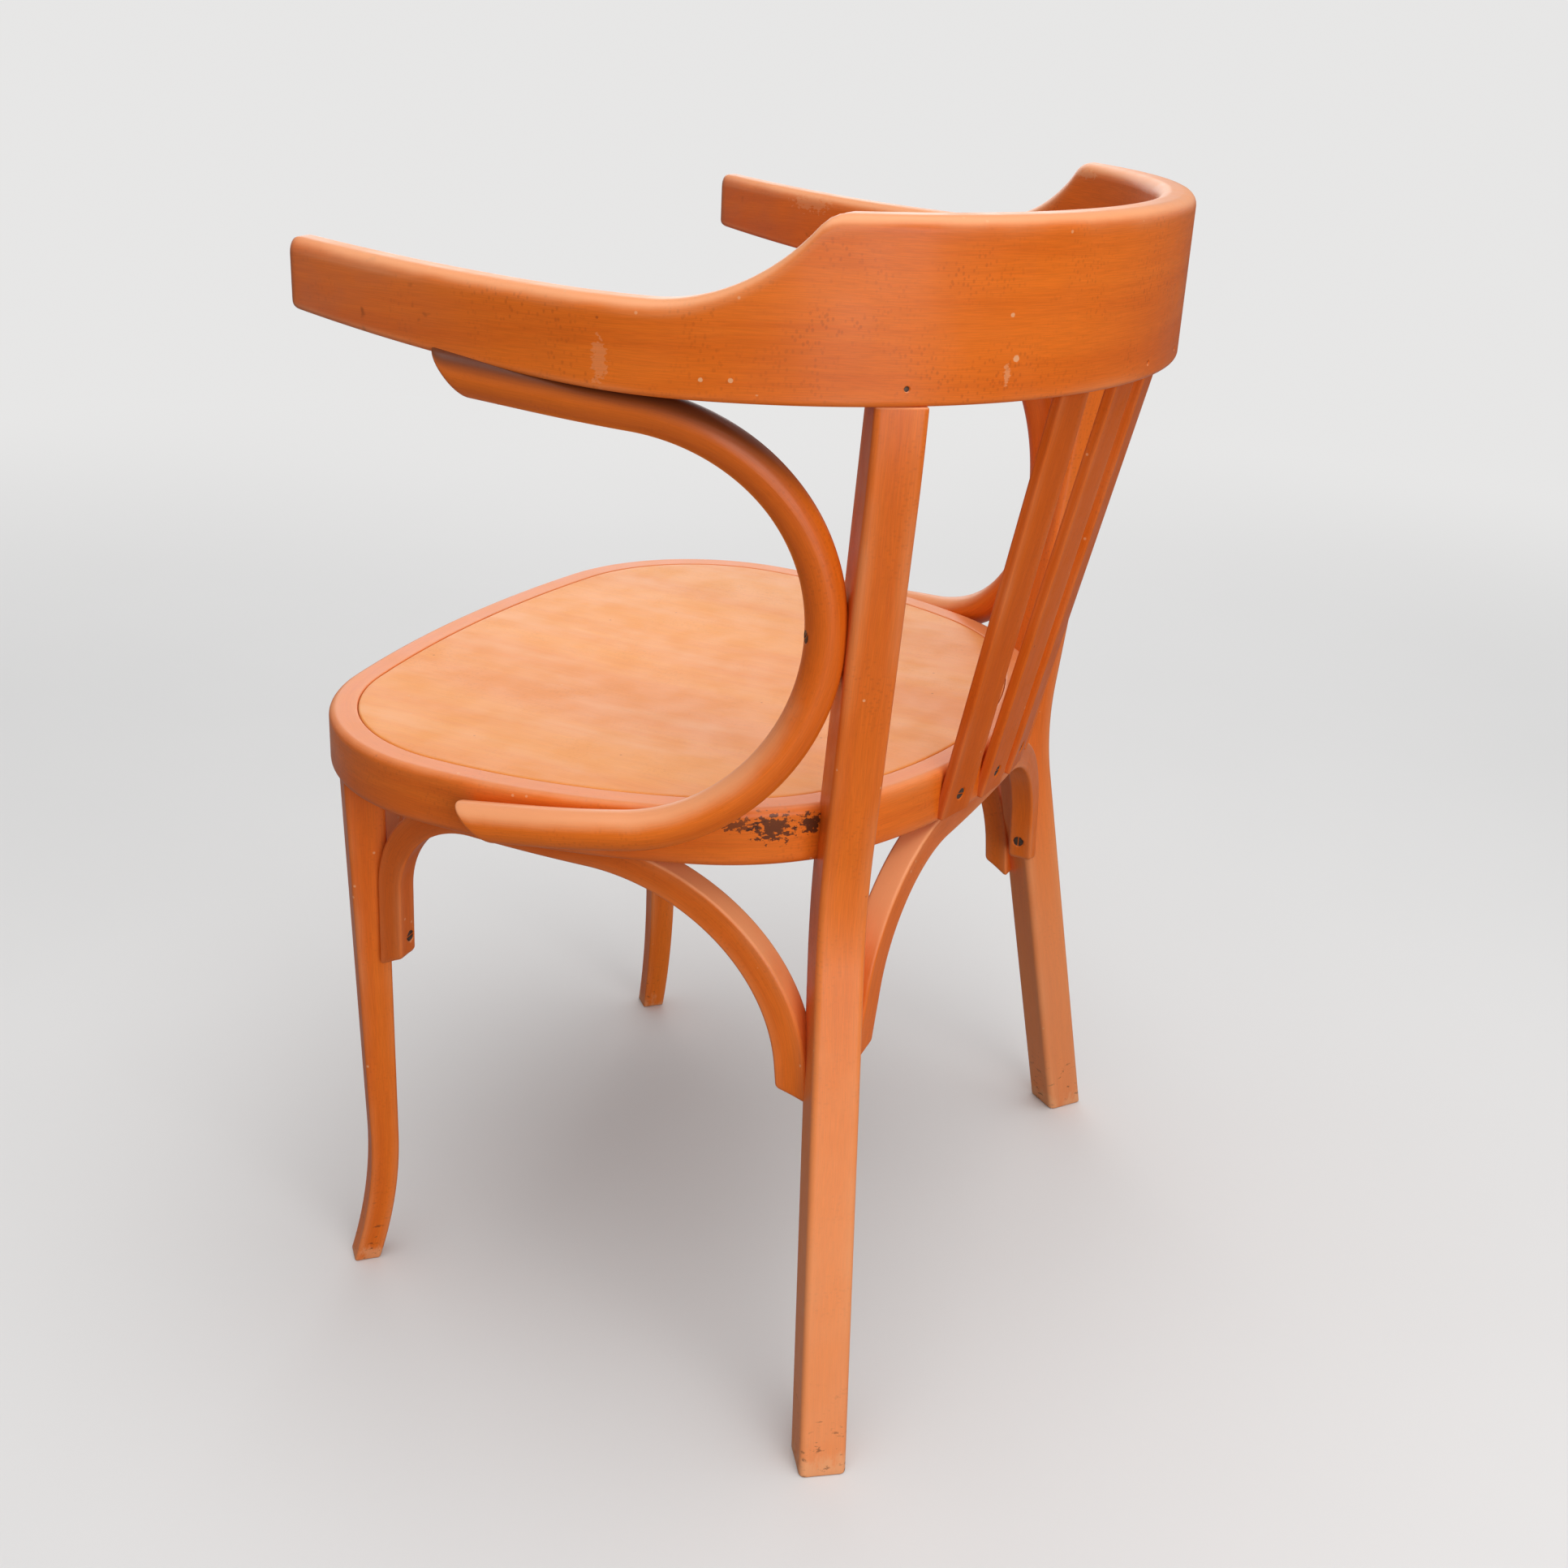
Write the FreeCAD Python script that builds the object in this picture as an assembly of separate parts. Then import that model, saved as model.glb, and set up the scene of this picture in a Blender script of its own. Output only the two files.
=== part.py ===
import FreeCAD, Part
import math
import os

# Bentwood armchair, in millimetres. The floor is z = 0, the chair faces -Y,
# and x = 0 is its plane of symmetry. The origin lies under the middle of its depth.

V = FreeCAD.Vector
UP = V(0, 0, 1)

# Main heights and depth
overall_depth = 519.0        # front of the seat ring to the back of the rail
seat_height = 430.0          # top of the seat ring
back_height = 782.0          # top of the back
back_board = 100.0           # height of the back's board

# Seat ring: an outline of tangent arcs
seat_width = 527.0
seat_depth = 443.0
seat_widest = 157.0          # from the front edge back to the widest place
front_edge_radius = 920.0
front_corner_radius = 140.0
side_radius = 417.0
rear_corner_radius = 163.0
rear_edge_radius = 336.0
ring_width = 46.0
ring_height = 38.0
ring_rounding = 5.0

# Seat panel in the ring's rebate
lip_width = 19.0             # ring left outside the rebate
panel_thickness = 7.0
panel_gap = 0.3
dish_reach = 165.0           # radius of the dished circle in plan
dish_depth = 3.0

# Bent rail: back and arms in one board
rail_radius = 273.0          # outer face, in plan
rail_thickness = 24.0
arm_straight = 175.0
arm_flare = 2.0              # degrees that each arm opens outwards
arm_drop = 49.0              # lowest place of the arm's top edge below the top of the back
arm_top_radius = 2000.0
arm_lift = 184.5             # from the back to where the underside starts to rise
arm_under_radius = 1350.0
scoop_radius = 105.0
scoop_back = 120.0           # from the back to the top of the scoop
scoop_corner_radius = 14.0
tip_rounding = 7.0
rail_top_rounding = 8.0
rail_under_rounding = 3.0

# Rear legs, which run on up as back posts
rear_leg_side = 31.0
rear_leg_bearing = 36.0      # degrees from +X of the plane in which the leg is bent
rear_leg_place = 56.5        # degrees round the ring's rear corner
rear_leg_housing = 5.0       # depth let into the ring
rear_leg_tilt = 1.5          # degrees that the leg's plane tips rearwards
rear_leg_splay = 84.0        # foot outwards of the leg's place at the ring
rear_knee_height = 366.0
rear_knee_radius = 250.0
rear_leg_rounding = 4.0
rear_tenon_diameter = 15.0
rear_tenon_length = 24.0

# Front legs
front_leg_bearing = -45.0
front_leg_place = -42.0      # degrees round the ring's front corner
front_leg_inset = 18.0       # from the ring's outer face to the leg's axis
front_leg_top = 27.0
front_leg_waist = 20.0
front_leg_foot = 19.0
front_waist_height = 110.0
front_waist_inset = 5.0
front_foot_kick = 11.0
front_leg_lean = 6.0
front_leg_rounding = 3.0
front_tenon_diameter = 18.0
front_tenon_length = 24.0

# Back slats
slat_count = 4
slat_pitch = 49.0
slat_width = 32.0
slat_thickness = 7.0
slat_foot_drop = 16.0        # foot of the slat below its screw
slat_housing = 1.0           # depth let into the ring at the screw
slat_tenon_length = 14.0
slat_rounding = 1.5
slat_rail_inset = 3.0        # slat's middle inside the rail's middle

# Arm loops, bent from round rod
loop_diameter = 25.0
loop_seat_back = 216.0       # from the seat's front to where the loop lies along the ring
loop_seat_drop = 18.5        # axis of the lower run below the seat
loop_straight = 19.0
loop_plan_radius = 340.0
loop_tilt = 5.5              # degrees that each run opens away from the other, from the bend to its end
loop_top_reach = 33.0
loop_bottom_reach = 20.0
loop_rail_offset = 4.0       # axis of the upper run outside the arm's middle
loop_rail_housing = 4.0
loop_ring_housing = 1.5
loop_leg_housing = 1.5

# Bent braces under the ring
brace_thickness = 20.0
brace_width = 18.0
brace_bite = 3.0             # depth of the seat in which a leg's corner lies
brace_rounding = 2.0
side_brace_inset = 36.0      # crown's middle inside the ring's outer face
front_brace_inset = 38.0
rear_brace_bow = 8.0         # crown's middle behind the ends
side_front_bend = 80.0
side_rear_bend = 150.0
cross_bend = 112.0
side_front_end = 252.0       # heights of the braces' ends
side_rear_end = 230.0
rear_brace_end = 254.0
front_brace_end = 250.0
brace_seat_rise = 24.0       # screw above the end of the brace

# Wood screws, lag screws, washers and pins
screw_diameter = 4.0
screw_head = 8.0
screw_head_height = 3.0
screw_tip = 5.0
screw_slot = 1.0
screw_grip = 16.0            # length in the second piece
screw_sink = 0.6
loop_screw_spread = 26.0
lag_diameter = 8.0
lag_across_flats = 13.0
lag_head_height = 5.5
lag_grip = 17.0
lag_tip = 6.0
washer_diameter = 22.0
washer_thickness = 2.0
washer_recess = 5.0
pin_diameter = 3.0
pin_length = 18.0
pin_sink = 1.0
pin_rise = 10.0              # pin above the rail's underside

# Clearances
screw_clearance = 0.1
tenon_clearance = 0.15
tenon_end_gap = 1.0

# Tools that cut are longer than what they cut by this much
overrun = 40.0

FRONT_Y = -overall_depth / 2
BACK_Y = overall_depth / 2
RING_REAR_Y = FRONT_Y + seat_depth
RING_BOTTOM = seat_height - ring_height
RING_MIDDLE = seat_height - ring_height / 2
RAIL_UNDERSIDE = back_height - back_board
ARM_WAIST = back_height - arm_drop
FLAT = 1e-6


def heading(degrees):
    angle = math.radians(degrees)
    return V(math.cos(angle), math.sin(angle), 0)


def polar(centre, radius, angle):
    return centre + V(math.cos(angle), math.sin(angle), 0) * radius


def bearing(start, end):
    return math.atan2(end.y - start.y, end.x - start.x)


def at_height(point, z):
    return V(point.x, point.y, z)


def circle_meet(a, ra, b, rb):
    """The right-hand meeting point of two circles in plan."""
    gap = b - a
    along = (ra * ra - rb * rb + gap.Length ** 2) / (2 * gap.Length)
    across = math.sqrt(ra * ra - along * along)
    unit = gap * (1 / gap.Length)
    normal = V(-unit.y, unit.x, 0)
    ends = [a + unit * along + normal * side * across for side in (1, -1)]
    return max(ends, key=lambda p: p.x)


def reach_circle(start, direction, centre, radius):
    """Distance from start along direction to where the ray leaves a circle in plan."""
    back = start - centre
    half = back.x * direction.x + back.y * direction.y
    rest = back.x ** 2 + back.y ** 2 - radius ** 2
    return -half + math.sqrt(half * half - rest)


def enter_circle(start, direction, centre, radius):
    """Distance from start along direction to where the ray enters a circle in plan."""
    back = start - centre
    half = back.x * direction.x + back.y * direction.y
    rest = back.x ** 2 + back.y ** 2 - radius ** 2
    return -half - math.sqrt(half * half - rest)


def plan_arc(centre, radius, start, end):
    middle = (start + end) / 2
    points = [polar(centre, radius, angle) for angle in (start, middle, end)]
    return Part.Arc(*points).toShape()


def line(a, b):
    return Part.LineSegment(a, b).toShape()


def arc_on_tangent(start, tangent, end):
    """The arc that leaves start along tangent and arrives at end, or a line if they are in line."""
    chord = end - start
    unit = chord * (1 / chord.Length)
    side = tangent - unit * tangent.dot(unit)
    if side.Length < FLAT:
        return line(start, end)
    turn = math.atan2(side.Length, tangent.dot(unit))
    rise = chord.Length / 2 * math.tan(turn / 2)
    middle = (start + end) * 0.5 + side * (rise / side.Length)
    return Part.Arc(start, middle, end).toShape()


def biarc(p0, t0, p1, t1):
    """Two tangent arcs from p0 along t0 to p1 along t1."""
    gap = p1 - p0
    a = 2 * (1 - t0.dot(t1))
    b = 2 * gap.dot(t0 + t1)
    c = gap.dot(gap)
    reach = c / b if a < FLAT else (-b + math.sqrt(b * b + 4 * a * c)) / (2 * a)
    joint = (p0 + p1) * 0.5 + (t0 - t1) * (reach / 2)
    middle_tangent = p1 - t1 * reach - p0 - t0 * reach
    middle_tangent.normalize()
    return [arc_on_tangent(p0, t0, joint), arc_on_tangent(joint, middle_tangent, p1)]


def wire(edges):
    return Part.Wire(Part.__sortEdges__(edges))


def polygon(points):
    return Part.Face(Part.makePolygon(points + points[:1]))


def prism(outline, bottom, top):
    face = Part.Face(outline)
    face.translate(V(0, 0, bottom))
    return face.extrude(V(0, 0, top - bottom))


def thick(face, width):
    """An upright XZ face given a width, half each side of y = 0."""
    face.translate(V(0, -width / 2, 0))
    return face.extrude(V(0, width, 0))


def placed(shape, degrees, point):
    copy = shape.copy()
    copy.Placement = FreeCAD.Placement(point, FreeCAD.Rotation(UP, degrees))
    return copy


def placed_on(shape, degrees, point):
    """Turn a shape about the upright axis and move it, on top of any turn that it has."""
    copy = shape.copy()
    copy.rotate(V(0, 0, 0), UP, degrees)
    copy.translate(point)
    return copy


def mirrored(shape):
    return shape.mirror(V(0, 0, 0), V(1, 0, 0))


def both(shapes):
    return shapes + [mirrored(s) for s in shapes]


def one_solid(shape):
    solids = shape.Solids
    if len(solids) != 1:
        raise ValueError("expected one solid, found %d" % len(solids))
    return solids[0]


def level_edges(shape):
    return [e for e in shape.Edges if e.BoundBox.ZLength < FLAT]


def is_end(edge, heights):
    box = edge.BoundBox
    return any(abs(box.ZMin - z) < FLAT and abs(box.ZMax - z) < FLAT for z in heights)


def rounded_along(shape, radius, heights):
    """Round every edge but those of the level ends at the given heights."""
    return shape.makeFillet(radius, [e for e in shape.Edges if not is_end(e, heights)])


def bent_strip(foot, knee, top, radius, half):
    """XZ face of a strip whose middle is two lines joined by an arc."""
    d1 = (knee - foot).normalize()
    d2 = (top - knee).normalize()
    n1 = V(-d1.z, 0, d1.x)
    n2 = V(-d2.z, 0, d2.x)
    side = 1 if d1.x * d2.z - d1.z * d2.x > 0 else -1
    turn = d1.getAngle(d2)
    p1 = knee - d1 * (radius * math.tan(turn / 2))
    p2 = knee + d2 * (radius * math.tan(turn / 2))
    centre = p1 + n1 * side * radius
    middle = (n1 + n2).normalize()
    edges = []
    for h in (half, -half):
        crest = centre + middle * (h - side * radius)
        edges.append(line(foot + n1 * h, p1 + n1 * h))
        edges.append(Part.Arc(p1 + n1 * h, crest, p2 + n2 * h).toShape())
        edges.append(line(p2 + n2 * h, top + n2 * h))
    edges.append(line(foot + n1 * half, foot - n1 * half))
    edges.append(line(top + n2 * half, top - n2 * half))
    return Part.Face(wire(edges))


# Centres of the arcs of the seat's outline
FRONT_CENTRE = V(0, FRONT_Y + front_edge_radius, 0)
SIDE_CENTRE = V(seat_width / 2 - side_radius, FRONT_Y + seat_widest, 0)
REAR_CENTRE = V(0, RING_REAR_Y - rear_edge_radius, 0)
FRONT_CORNER = circle_meet(FRONT_CENTRE, front_edge_radius - front_corner_radius,
                           SIDE_CENTRE, side_radius - front_corner_radius)
REAR_CORNER = circle_meet(REAR_CENTRE, rear_edge_radius - rear_corner_radius,
                          SIDE_CENTRE, side_radius - rear_corner_radius)


def seat_outline(inset):
    """The seat's outline, drawn in by inset all round."""
    a1 = bearing(FRONT_CENTRE, FRONT_CORNER)
    a2 = bearing(SIDE_CENTRE, FRONT_CORNER)
    a3 = bearing(SIDE_CENTRE, REAR_CORNER)
    a4 = bearing(REAR_CENTRE, REAR_CORNER)
    front = plan_arc(FRONT_CENTRE, front_edge_radius - inset, -math.pi - a1, a1)
    rear = plan_arc(REAR_CENTRE, rear_edge_radius - inset, a4, math.pi - a4)
    side = [plan_arc(FRONT_CORNER, front_corner_radius - inset, a1, a2),
            plan_arc(SIDE_CENTRE, side_radius - inset, a2, a3),
            plan_arc(REAR_CORNER, rear_corner_radius - inset, a3, a4)]
    return wire([front, rear] + both(side))


# The rail in plan: a half circle with a straight arm tangent at each end
RAIL_CENTRE = V(0, BACK_Y - rail_radius, 0)
RAIL_MIDDLE = rail_radius - rail_thickness / 2
RAIL_HALF_HEIGHT = (RAIL_UNDERSIDE + ARM_WAIST) / 2
ARM_TURN = math.radians(arm_flare)
ARM_ALONG = V(math.sin(ARM_TURN), -math.cos(ARM_TURN), 0)


def arm_middle_x(y):
    """x of the middle of the left arm at depth y."""
    start = polar(RAIL_CENTRE, RAIL_MIDDLE, ARM_TURN)
    return start.x + (start.y - y) * math.tan(ARM_TURN)


# The rear leg's axis: where it passes the ring, and where it enters the rail
REAR_OUT = heading(rear_leg_bearing)
REAR_ACROSS = V(-REAR_OUT.y, REAR_OUT.x, 0)
REAR_TIP = math.tan(math.radians(rear_leg_tilt))
REAR_RING_POINT = polar(REAR_CORNER, rear_corner_radius, math.radians(rear_leg_place))
REAR_AXIS = REAR_RING_POINT + REAR_OUT * (rear_leg_side / 2 - rear_leg_housing)
REAR_TOP_SHIFT = REAR_ACROSS * REAR_TIP * (RAIL_UNDERSIDE - RING_MIDDLE)
REAR_TOP = reach_circle(REAR_AXIS + REAR_TOP_SHIFT, REAR_OUT, RAIL_CENTRE, RAIL_MIDDLE)
REAR_TOP_POINT = at_height(REAR_AXIS + REAR_TOP_SHIFT + REAR_OUT * REAR_TOP, RAIL_UNDERSIDE)
REAR_SLOPE = REAR_TOP / (RAIL_UNDERSIDE - RING_MIDDLE)
REAR_KNEE = -REAR_SLOPE * (RING_MIDDLE - rear_knee_height)
REAR_FALL = (rear_leg_splay - REAR_KNEE) / rear_knee_height
REAR_DESCENT = REAR_OUT * REAR_FALL - REAR_ACROSS * REAR_TIP

# The front leg's axis
FRONT_OUT = heading(front_leg_bearing)
FRONT_ACROSS = V(-FRONT_OUT.y, FRONT_OUT.x, 0)
FRONT_AXIS = polar(FRONT_CORNER, front_corner_radius - front_leg_inset, math.radians(front_leg_place))


def rear_leg_middle(z):
    """Middle of the left rear leg at height z, away from the bend at its knee."""
    if z > rear_knee_height:
        out = REAR_SLOPE * (z - RING_MIDDLE)
    else:
        out = REAR_KNEE + REAR_FALL * (rear_knee_height - z)
    return at_height(REAR_AXIS + REAR_OUT * out + REAR_ACROSS * REAR_TIP * (z - RING_MIDDLE), z)


def front_leg_middle(z):
    """Middle of the left front leg at height z, above its waist."""
    share = (RING_BOTTOM - z) / (RING_BOTTOM - front_waist_height)
    lean = front_leg_lean * (RING_BOTTOM - z) / RING_BOTTOM
    return at_height(FRONT_AXIS - FRONT_OUT * front_waist_inset * share - FRONT_ACROSS * lean, z)


def front_leg_half(z):
    """Half the width of the front leg at height z, above its waist."""
    share = (RING_BOTTOM - z) / (RING_BOTTOM - front_waist_height)
    return (front_leg_top + (front_leg_waist - front_leg_top) * share) / 2


def revolved(points):
    """A solid turned about Z from (radius, height) points, which start and end on the axis."""
    face = polygon([V(r, 0, z) for r, z in points])
    return face.revolve(V(0, 0, 0), UP, 360)


def aimed(shape, point, direction):
    copy = shape.copy()
    copy.Placement = FreeCAD.Placement(point, FreeCAD.Rotation(UP, direction))
    return copy


def wood_screw(point, direction, length):
    """A slotted countersunk screw whose head's face is at point, and the hole that takes it."""
    r = screw_diameter / 2
    head = screw_head / 2
    neck = screw_head_height
    body = revolved([(0, 0), (head, 0), (r, neck), (r, length - screw_tip), (0, length)])
    corner = V(-screw_head, -screw_slot / 2, -screw_slot)
    slot = Part.makeBox(screw_head * 2, screw_slot, screw_slot * 2, corner)
    c = screw_clearance
    hole = revolved([(0, -overrun), (head + c, -overrun), (head + c, 0), (r + c, neck),
                     (r + c, length - screw_tip), (c, length), (0, length)])
    return aimed(body.cut(slot), point, direction), aimed(hole, point, direction)


def lag_screw(point, direction, length):
    """A hexagon-headed screw whose head's under face is at point, its washer, and its hole."""
    r = lag_diameter / 2
    c = screw_clearance
    shank = revolved([(0, 0), (r, 0), (r, length - lag_tip), (0, length)])
    corner = lag_across_flats / math.sqrt(3)
    hexagon = polygon([V(corner * math.cos(math.pi / 3 * k), corner * math.sin(math.pi / 3 * k), 0)
                       for k in range(6)])
    screw = hexagon.extrude(V(0, 0, -lag_head_height)).fuse(shank).removeSplitter()
    washer = Part.makeCylinder(washer_diameter / 2, washer_thickness)
    washer = washer.cut(Part.makeCylinder(r + c, washer_thickness))
    seat = Part.makeCylinder(washer_diameter / 2 + c, overrun, V(0, 0, washer_thickness - overrun))
    bore = revolved([(0, 0), (r + c, 0), (r + c, length - lag_tip), (c, length), (0, length)])
    return [aimed(s, point, direction) for s in (screw, washer, seat.fuse(bore))]


def plain_pin(point, direction):
    """A pin set below the surface at point, and its hole."""
    r = pin_diameter / 2
    start = V(0, 0, pin_sink)
    pin = Part.makeCylinder(r, pin_length, start)
    hole = Part.makeCylinder(r + screw_clearance, pin_length + pin_sink + overrun, V(0, 0, -overrun))
    return aimed(pin, point, direction), aimed(hole, point, direction)


def make_seat_ring():
    body = prism(seat_outline(0), RING_BOTTOM, seat_height)
    body = body.makeFillet(ring_rounding, level_edges(body))
    body = body.cut(prism(seat_outline(ring_width), RING_BOTTOM - overrun, seat_height + overrun))
    rebate = seat_height - panel_thickness
    return body.cut(prism(seat_outline(lip_width), rebate, seat_height + overrun))


def make_seat_panel():
    panel = prism(seat_outline(lip_width + panel_gap), seat_height - panel_thickness, seat_height)
    ball = (dish_reach ** 2 + dish_depth ** 2) / (2 * dish_depth)
    middle = (FRONT_Y + RING_REAR_Y) / 2
    return panel.cut(Part.makeSphere(ball, V(0, middle, seat_height - dish_depth + ball)))


def rail_plan():
    outer = polar(RAIL_CENTRE, rail_radius, ARM_TURN)
    inner = polar(RAIL_CENTRE, rail_radius - rail_thickness, ARM_TURN)
    outer_tip = outer + ARM_ALONG * arm_straight
    inner_tip = inner + ARM_ALONG * arm_straight
    arms = [line(outer, outer_tip), line(outer_tip, inner_tip), line(inner_tip, inner)]
    backs = [plan_arc(RAIL_CENTRE, r, ARM_TURN, math.pi - ARM_TURN)
             for r in (rail_radius, rail_radius - rail_thickness)]
    return wire(backs + both(arms))


def rise(distance, radius):
    return radius - math.sqrt(radius ** 2 - distance ** 2)


ARM_LIFT_Y = BACK_Y - arm_lift


def arm_underside(y):
    """Height of the rail's underside, which rises along the arms."""
    return RAIL_UNDERSIDE + rise(max(ARM_LIFT_Y - y, 0), arm_under_radius)


def side_view_arc(a, b, c):
    return Part.Arc(a, b, c).toShape()


def rail_side_view():
    """The rail seen from the side, in the YZ plane: a high back, a scoop, and low arms."""
    back = BACK_Y + overrun
    tip = RAIL_CENTRE.y - arm_straight - overrun
    corner_z = back_height - scoop_corner_radius
    corner_y = BACK_Y - scoop_back
    scoop_z = ARM_WAIST + scoop_radius
    reach = scoop_radius + scoop_corner_radius
    waist = corner_y - math.sqrt(reach ** 2 - (scoop_z - corner_z) ** 2)
    scoop = V(0, waist, scoop_z)
    corner = V(0, corner_y, corner_z)
    link = (corner - scoop) * (1 / reach)
    meet = scoop + link * scoop_radius
    scoop_low = V(0, waist, ARM_WAIST)
    scoop_middle = scoop + (link - UP).normalize() * scoop_radius
    corner_top = V(0, corner_y, back_height)
    corner_middle = corner + (UP - link).normalize() * scoop_corner_radius
    run = waist - tip
    tip_top = V(0, tip, ARM_WAIST + rise(run, arm_top_radius))
    top_middle = V(0, waist - run / 2, ARM_WAIST + rise(run / 2, arm_top_radius))
    tip_under = V(0, tip, arm_underside(tip))
    under_middle = V(0, (ARM_LIFT_Y + tip) / 2, arm_underside((ARM_LIFT_Y + tip) / 2))
    lift_point = V(0, ARM_LIFT_Y, RAIL_UNDERSIDE)
    low_back = V(0, back, RAIL_UNDERSIDE)
    high_back = V(0, back, back_height)
    return wire([
        line(low_back, lift_point), side_view_arc(lift_point, under_middle, tip_under),
        line(tip_under, tip_top), side_view_arc(tip_top, top_middle, scoop_low),
        side_view_arc(scoop_low, scoop_middle, meet), side_view_arc(meet, corner_middle, corner_top),
        line(corner_top, high_back), line(high_back, low_back)])


def rail_slab():
    """The rail's side view carried right across the chair."""
    face = Part.Face(rail_side_view())
    reach = rail_radius + arm_straight
    face.translate(V(-reach, 0, 0))
    return face.extrude(V(2 * reach, 0, 0))


def make_rail():
    board = prism(rail_plan(), RAIL_UNDERSIDE - overrun, back_height + overrun)
    tip_y = RAIL_CENTRE.y - arm_straight / 2
    corners = [e for e in board.Edges
               if e.BoundBox.XLength < FLAT and e.BoundBox.YLength < FLAT and e.BoundBox.YMax < tip_y]
    board = board.makeFillet(tip_rounding, corners)
    rail = one_solid(board.common(rail_slab()))
    top = [e for e in long_edges(rail) if e.CenterOfMass.z >= RAIL_HALF_HEIGHT]
    rail = rail.makeFillet(rail_top_rounding, top)
    under = [e for e in long_edges(rail) if e.CenterOfMass.z < RAIL_HALF_HEIGHT]
    return rail.makeFillet(rail_under_rounding, under)


def long_edges(rail):
    """Edges that run along the board, round its top and its underside."""
    return [e for e in rail.Edges if not upright(e) and not crosses_board(e)]


def upright(edge):
    return edge.BoundBox.XLength < FLAT and edge.BoundBox.YLength < FLAT


def crosses_board(edge):
    """Whether an edge runs straight across the board, from its outer to its inner face."""
    return edge.BoundBox.YLength < FLAT and edge.BoundBox.ZLength < FLAT


def make_rear_leg():
    knee = V(REAR_KNEE, 0, rear_knee_height)
    foot = V(rear_leg_splay, 0, 0)
    top = V(REAR_TOP, 0, RAIL_UNDERSIDE)
    low = foot + (foot - knee).normalize() * overrun
    high = top + (top - knee).normalize() * overrun
    leg = thick(bent_strip(low, knee, high, rear_knee_radius, rear_leg_side / 2), rear_leg_side)
    leg.rotate(V(0, 0, RING_MIDDLE), V(1, 0, 0), -rear_leg_tilt)
    leg = placed_on(leg, rear_leg_bearing, REAR_AXIS)
    span = overall_depth + seat_width
    leg = one_solid(leg.common(Part.makeBox(span, span, RAIL_UNDERSIDE, V(0, -span / 2, 0))))
    leg = rounded_along(leg, rear_leg_rounding, (0, RAIL_UNDERSIDE))
    return leg.fuse(Part.makeCylinder(rear_tenon_diameter / 2, rear_tenon_length, REAR_TOP_POINT))


def rear_mortise():
    r = rear_tenon_diameter / 2 + tenon_clearance
    depth = rear_tenon_length + tenon_end_gap
    return Part.makeCylinder(r, depth + overrun, REAR_TOP_POINT - UP * overrun)


def front_leg_edge(side):
    """One long edge of the front leg in its side view: straight to the waist, then kicked out."""
    top = V(side * front_leg_top / 2, 0, RING_BOTTOM)
    waist = V(side * front_leg_waist / 2 - front_waist_inset, 0, front_waist_height)
    foot = V(side * front_leg_foot / 2 + front_foot_kick, 0, 0)
    return [line(top, waist), arc_on_tangent(waist, (waist - top).normalize(), foot)], top, foot


def make_front_leg():
    outer, outer_top, outer_foot = front_leg_edge(1)
    inner, inner_top, inner_foot = front_leg_edge(-1)
    ends = [line(outer_top, inner_top), line(outer_foot, inner_foot)]
    side = thick(Part.Face(wire(outer + inner + ends)), 4 * front_leg_top)
    half_top = front_leg_top / 2
    half_foot = front_leg_foot / 2
    face = polygon([V(0, -half_top, RING_BOTTOM), V(0, half_top, RING_BOTTOM),
                    V(0, half_foot - front_leg_lean, 0), V(0, -half_foot - front_leg_lean, 0)])
    reach = 4 * front_leg_top
    face.translate(V(-reach, 0, 0))
    leg = one_solid(side.common(face.extrude(V(2 * reach, 0, 0))))
    leg = rounded_along(leg, front_leg_rounding, (0, RING_BOTTOM))
    tenon = Part.makeCylinder(front_tenon_diameter / 2, front_tenon_length, V(0, 0, RING_BOTTOM))
    return placed(leg.fuse(tenon), front_leg_bearing, FRONT_AXIS)


def front_mortise():
    r = front_tenon_diameter / 2 + tenon_clearance
    depth = front_tenon_length + tenon_end_gap
    return Part.makeCylinder(r, depth + overrun, at_height(FRONT_AXIS, RING_BOTTOM - overrun))


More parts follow.
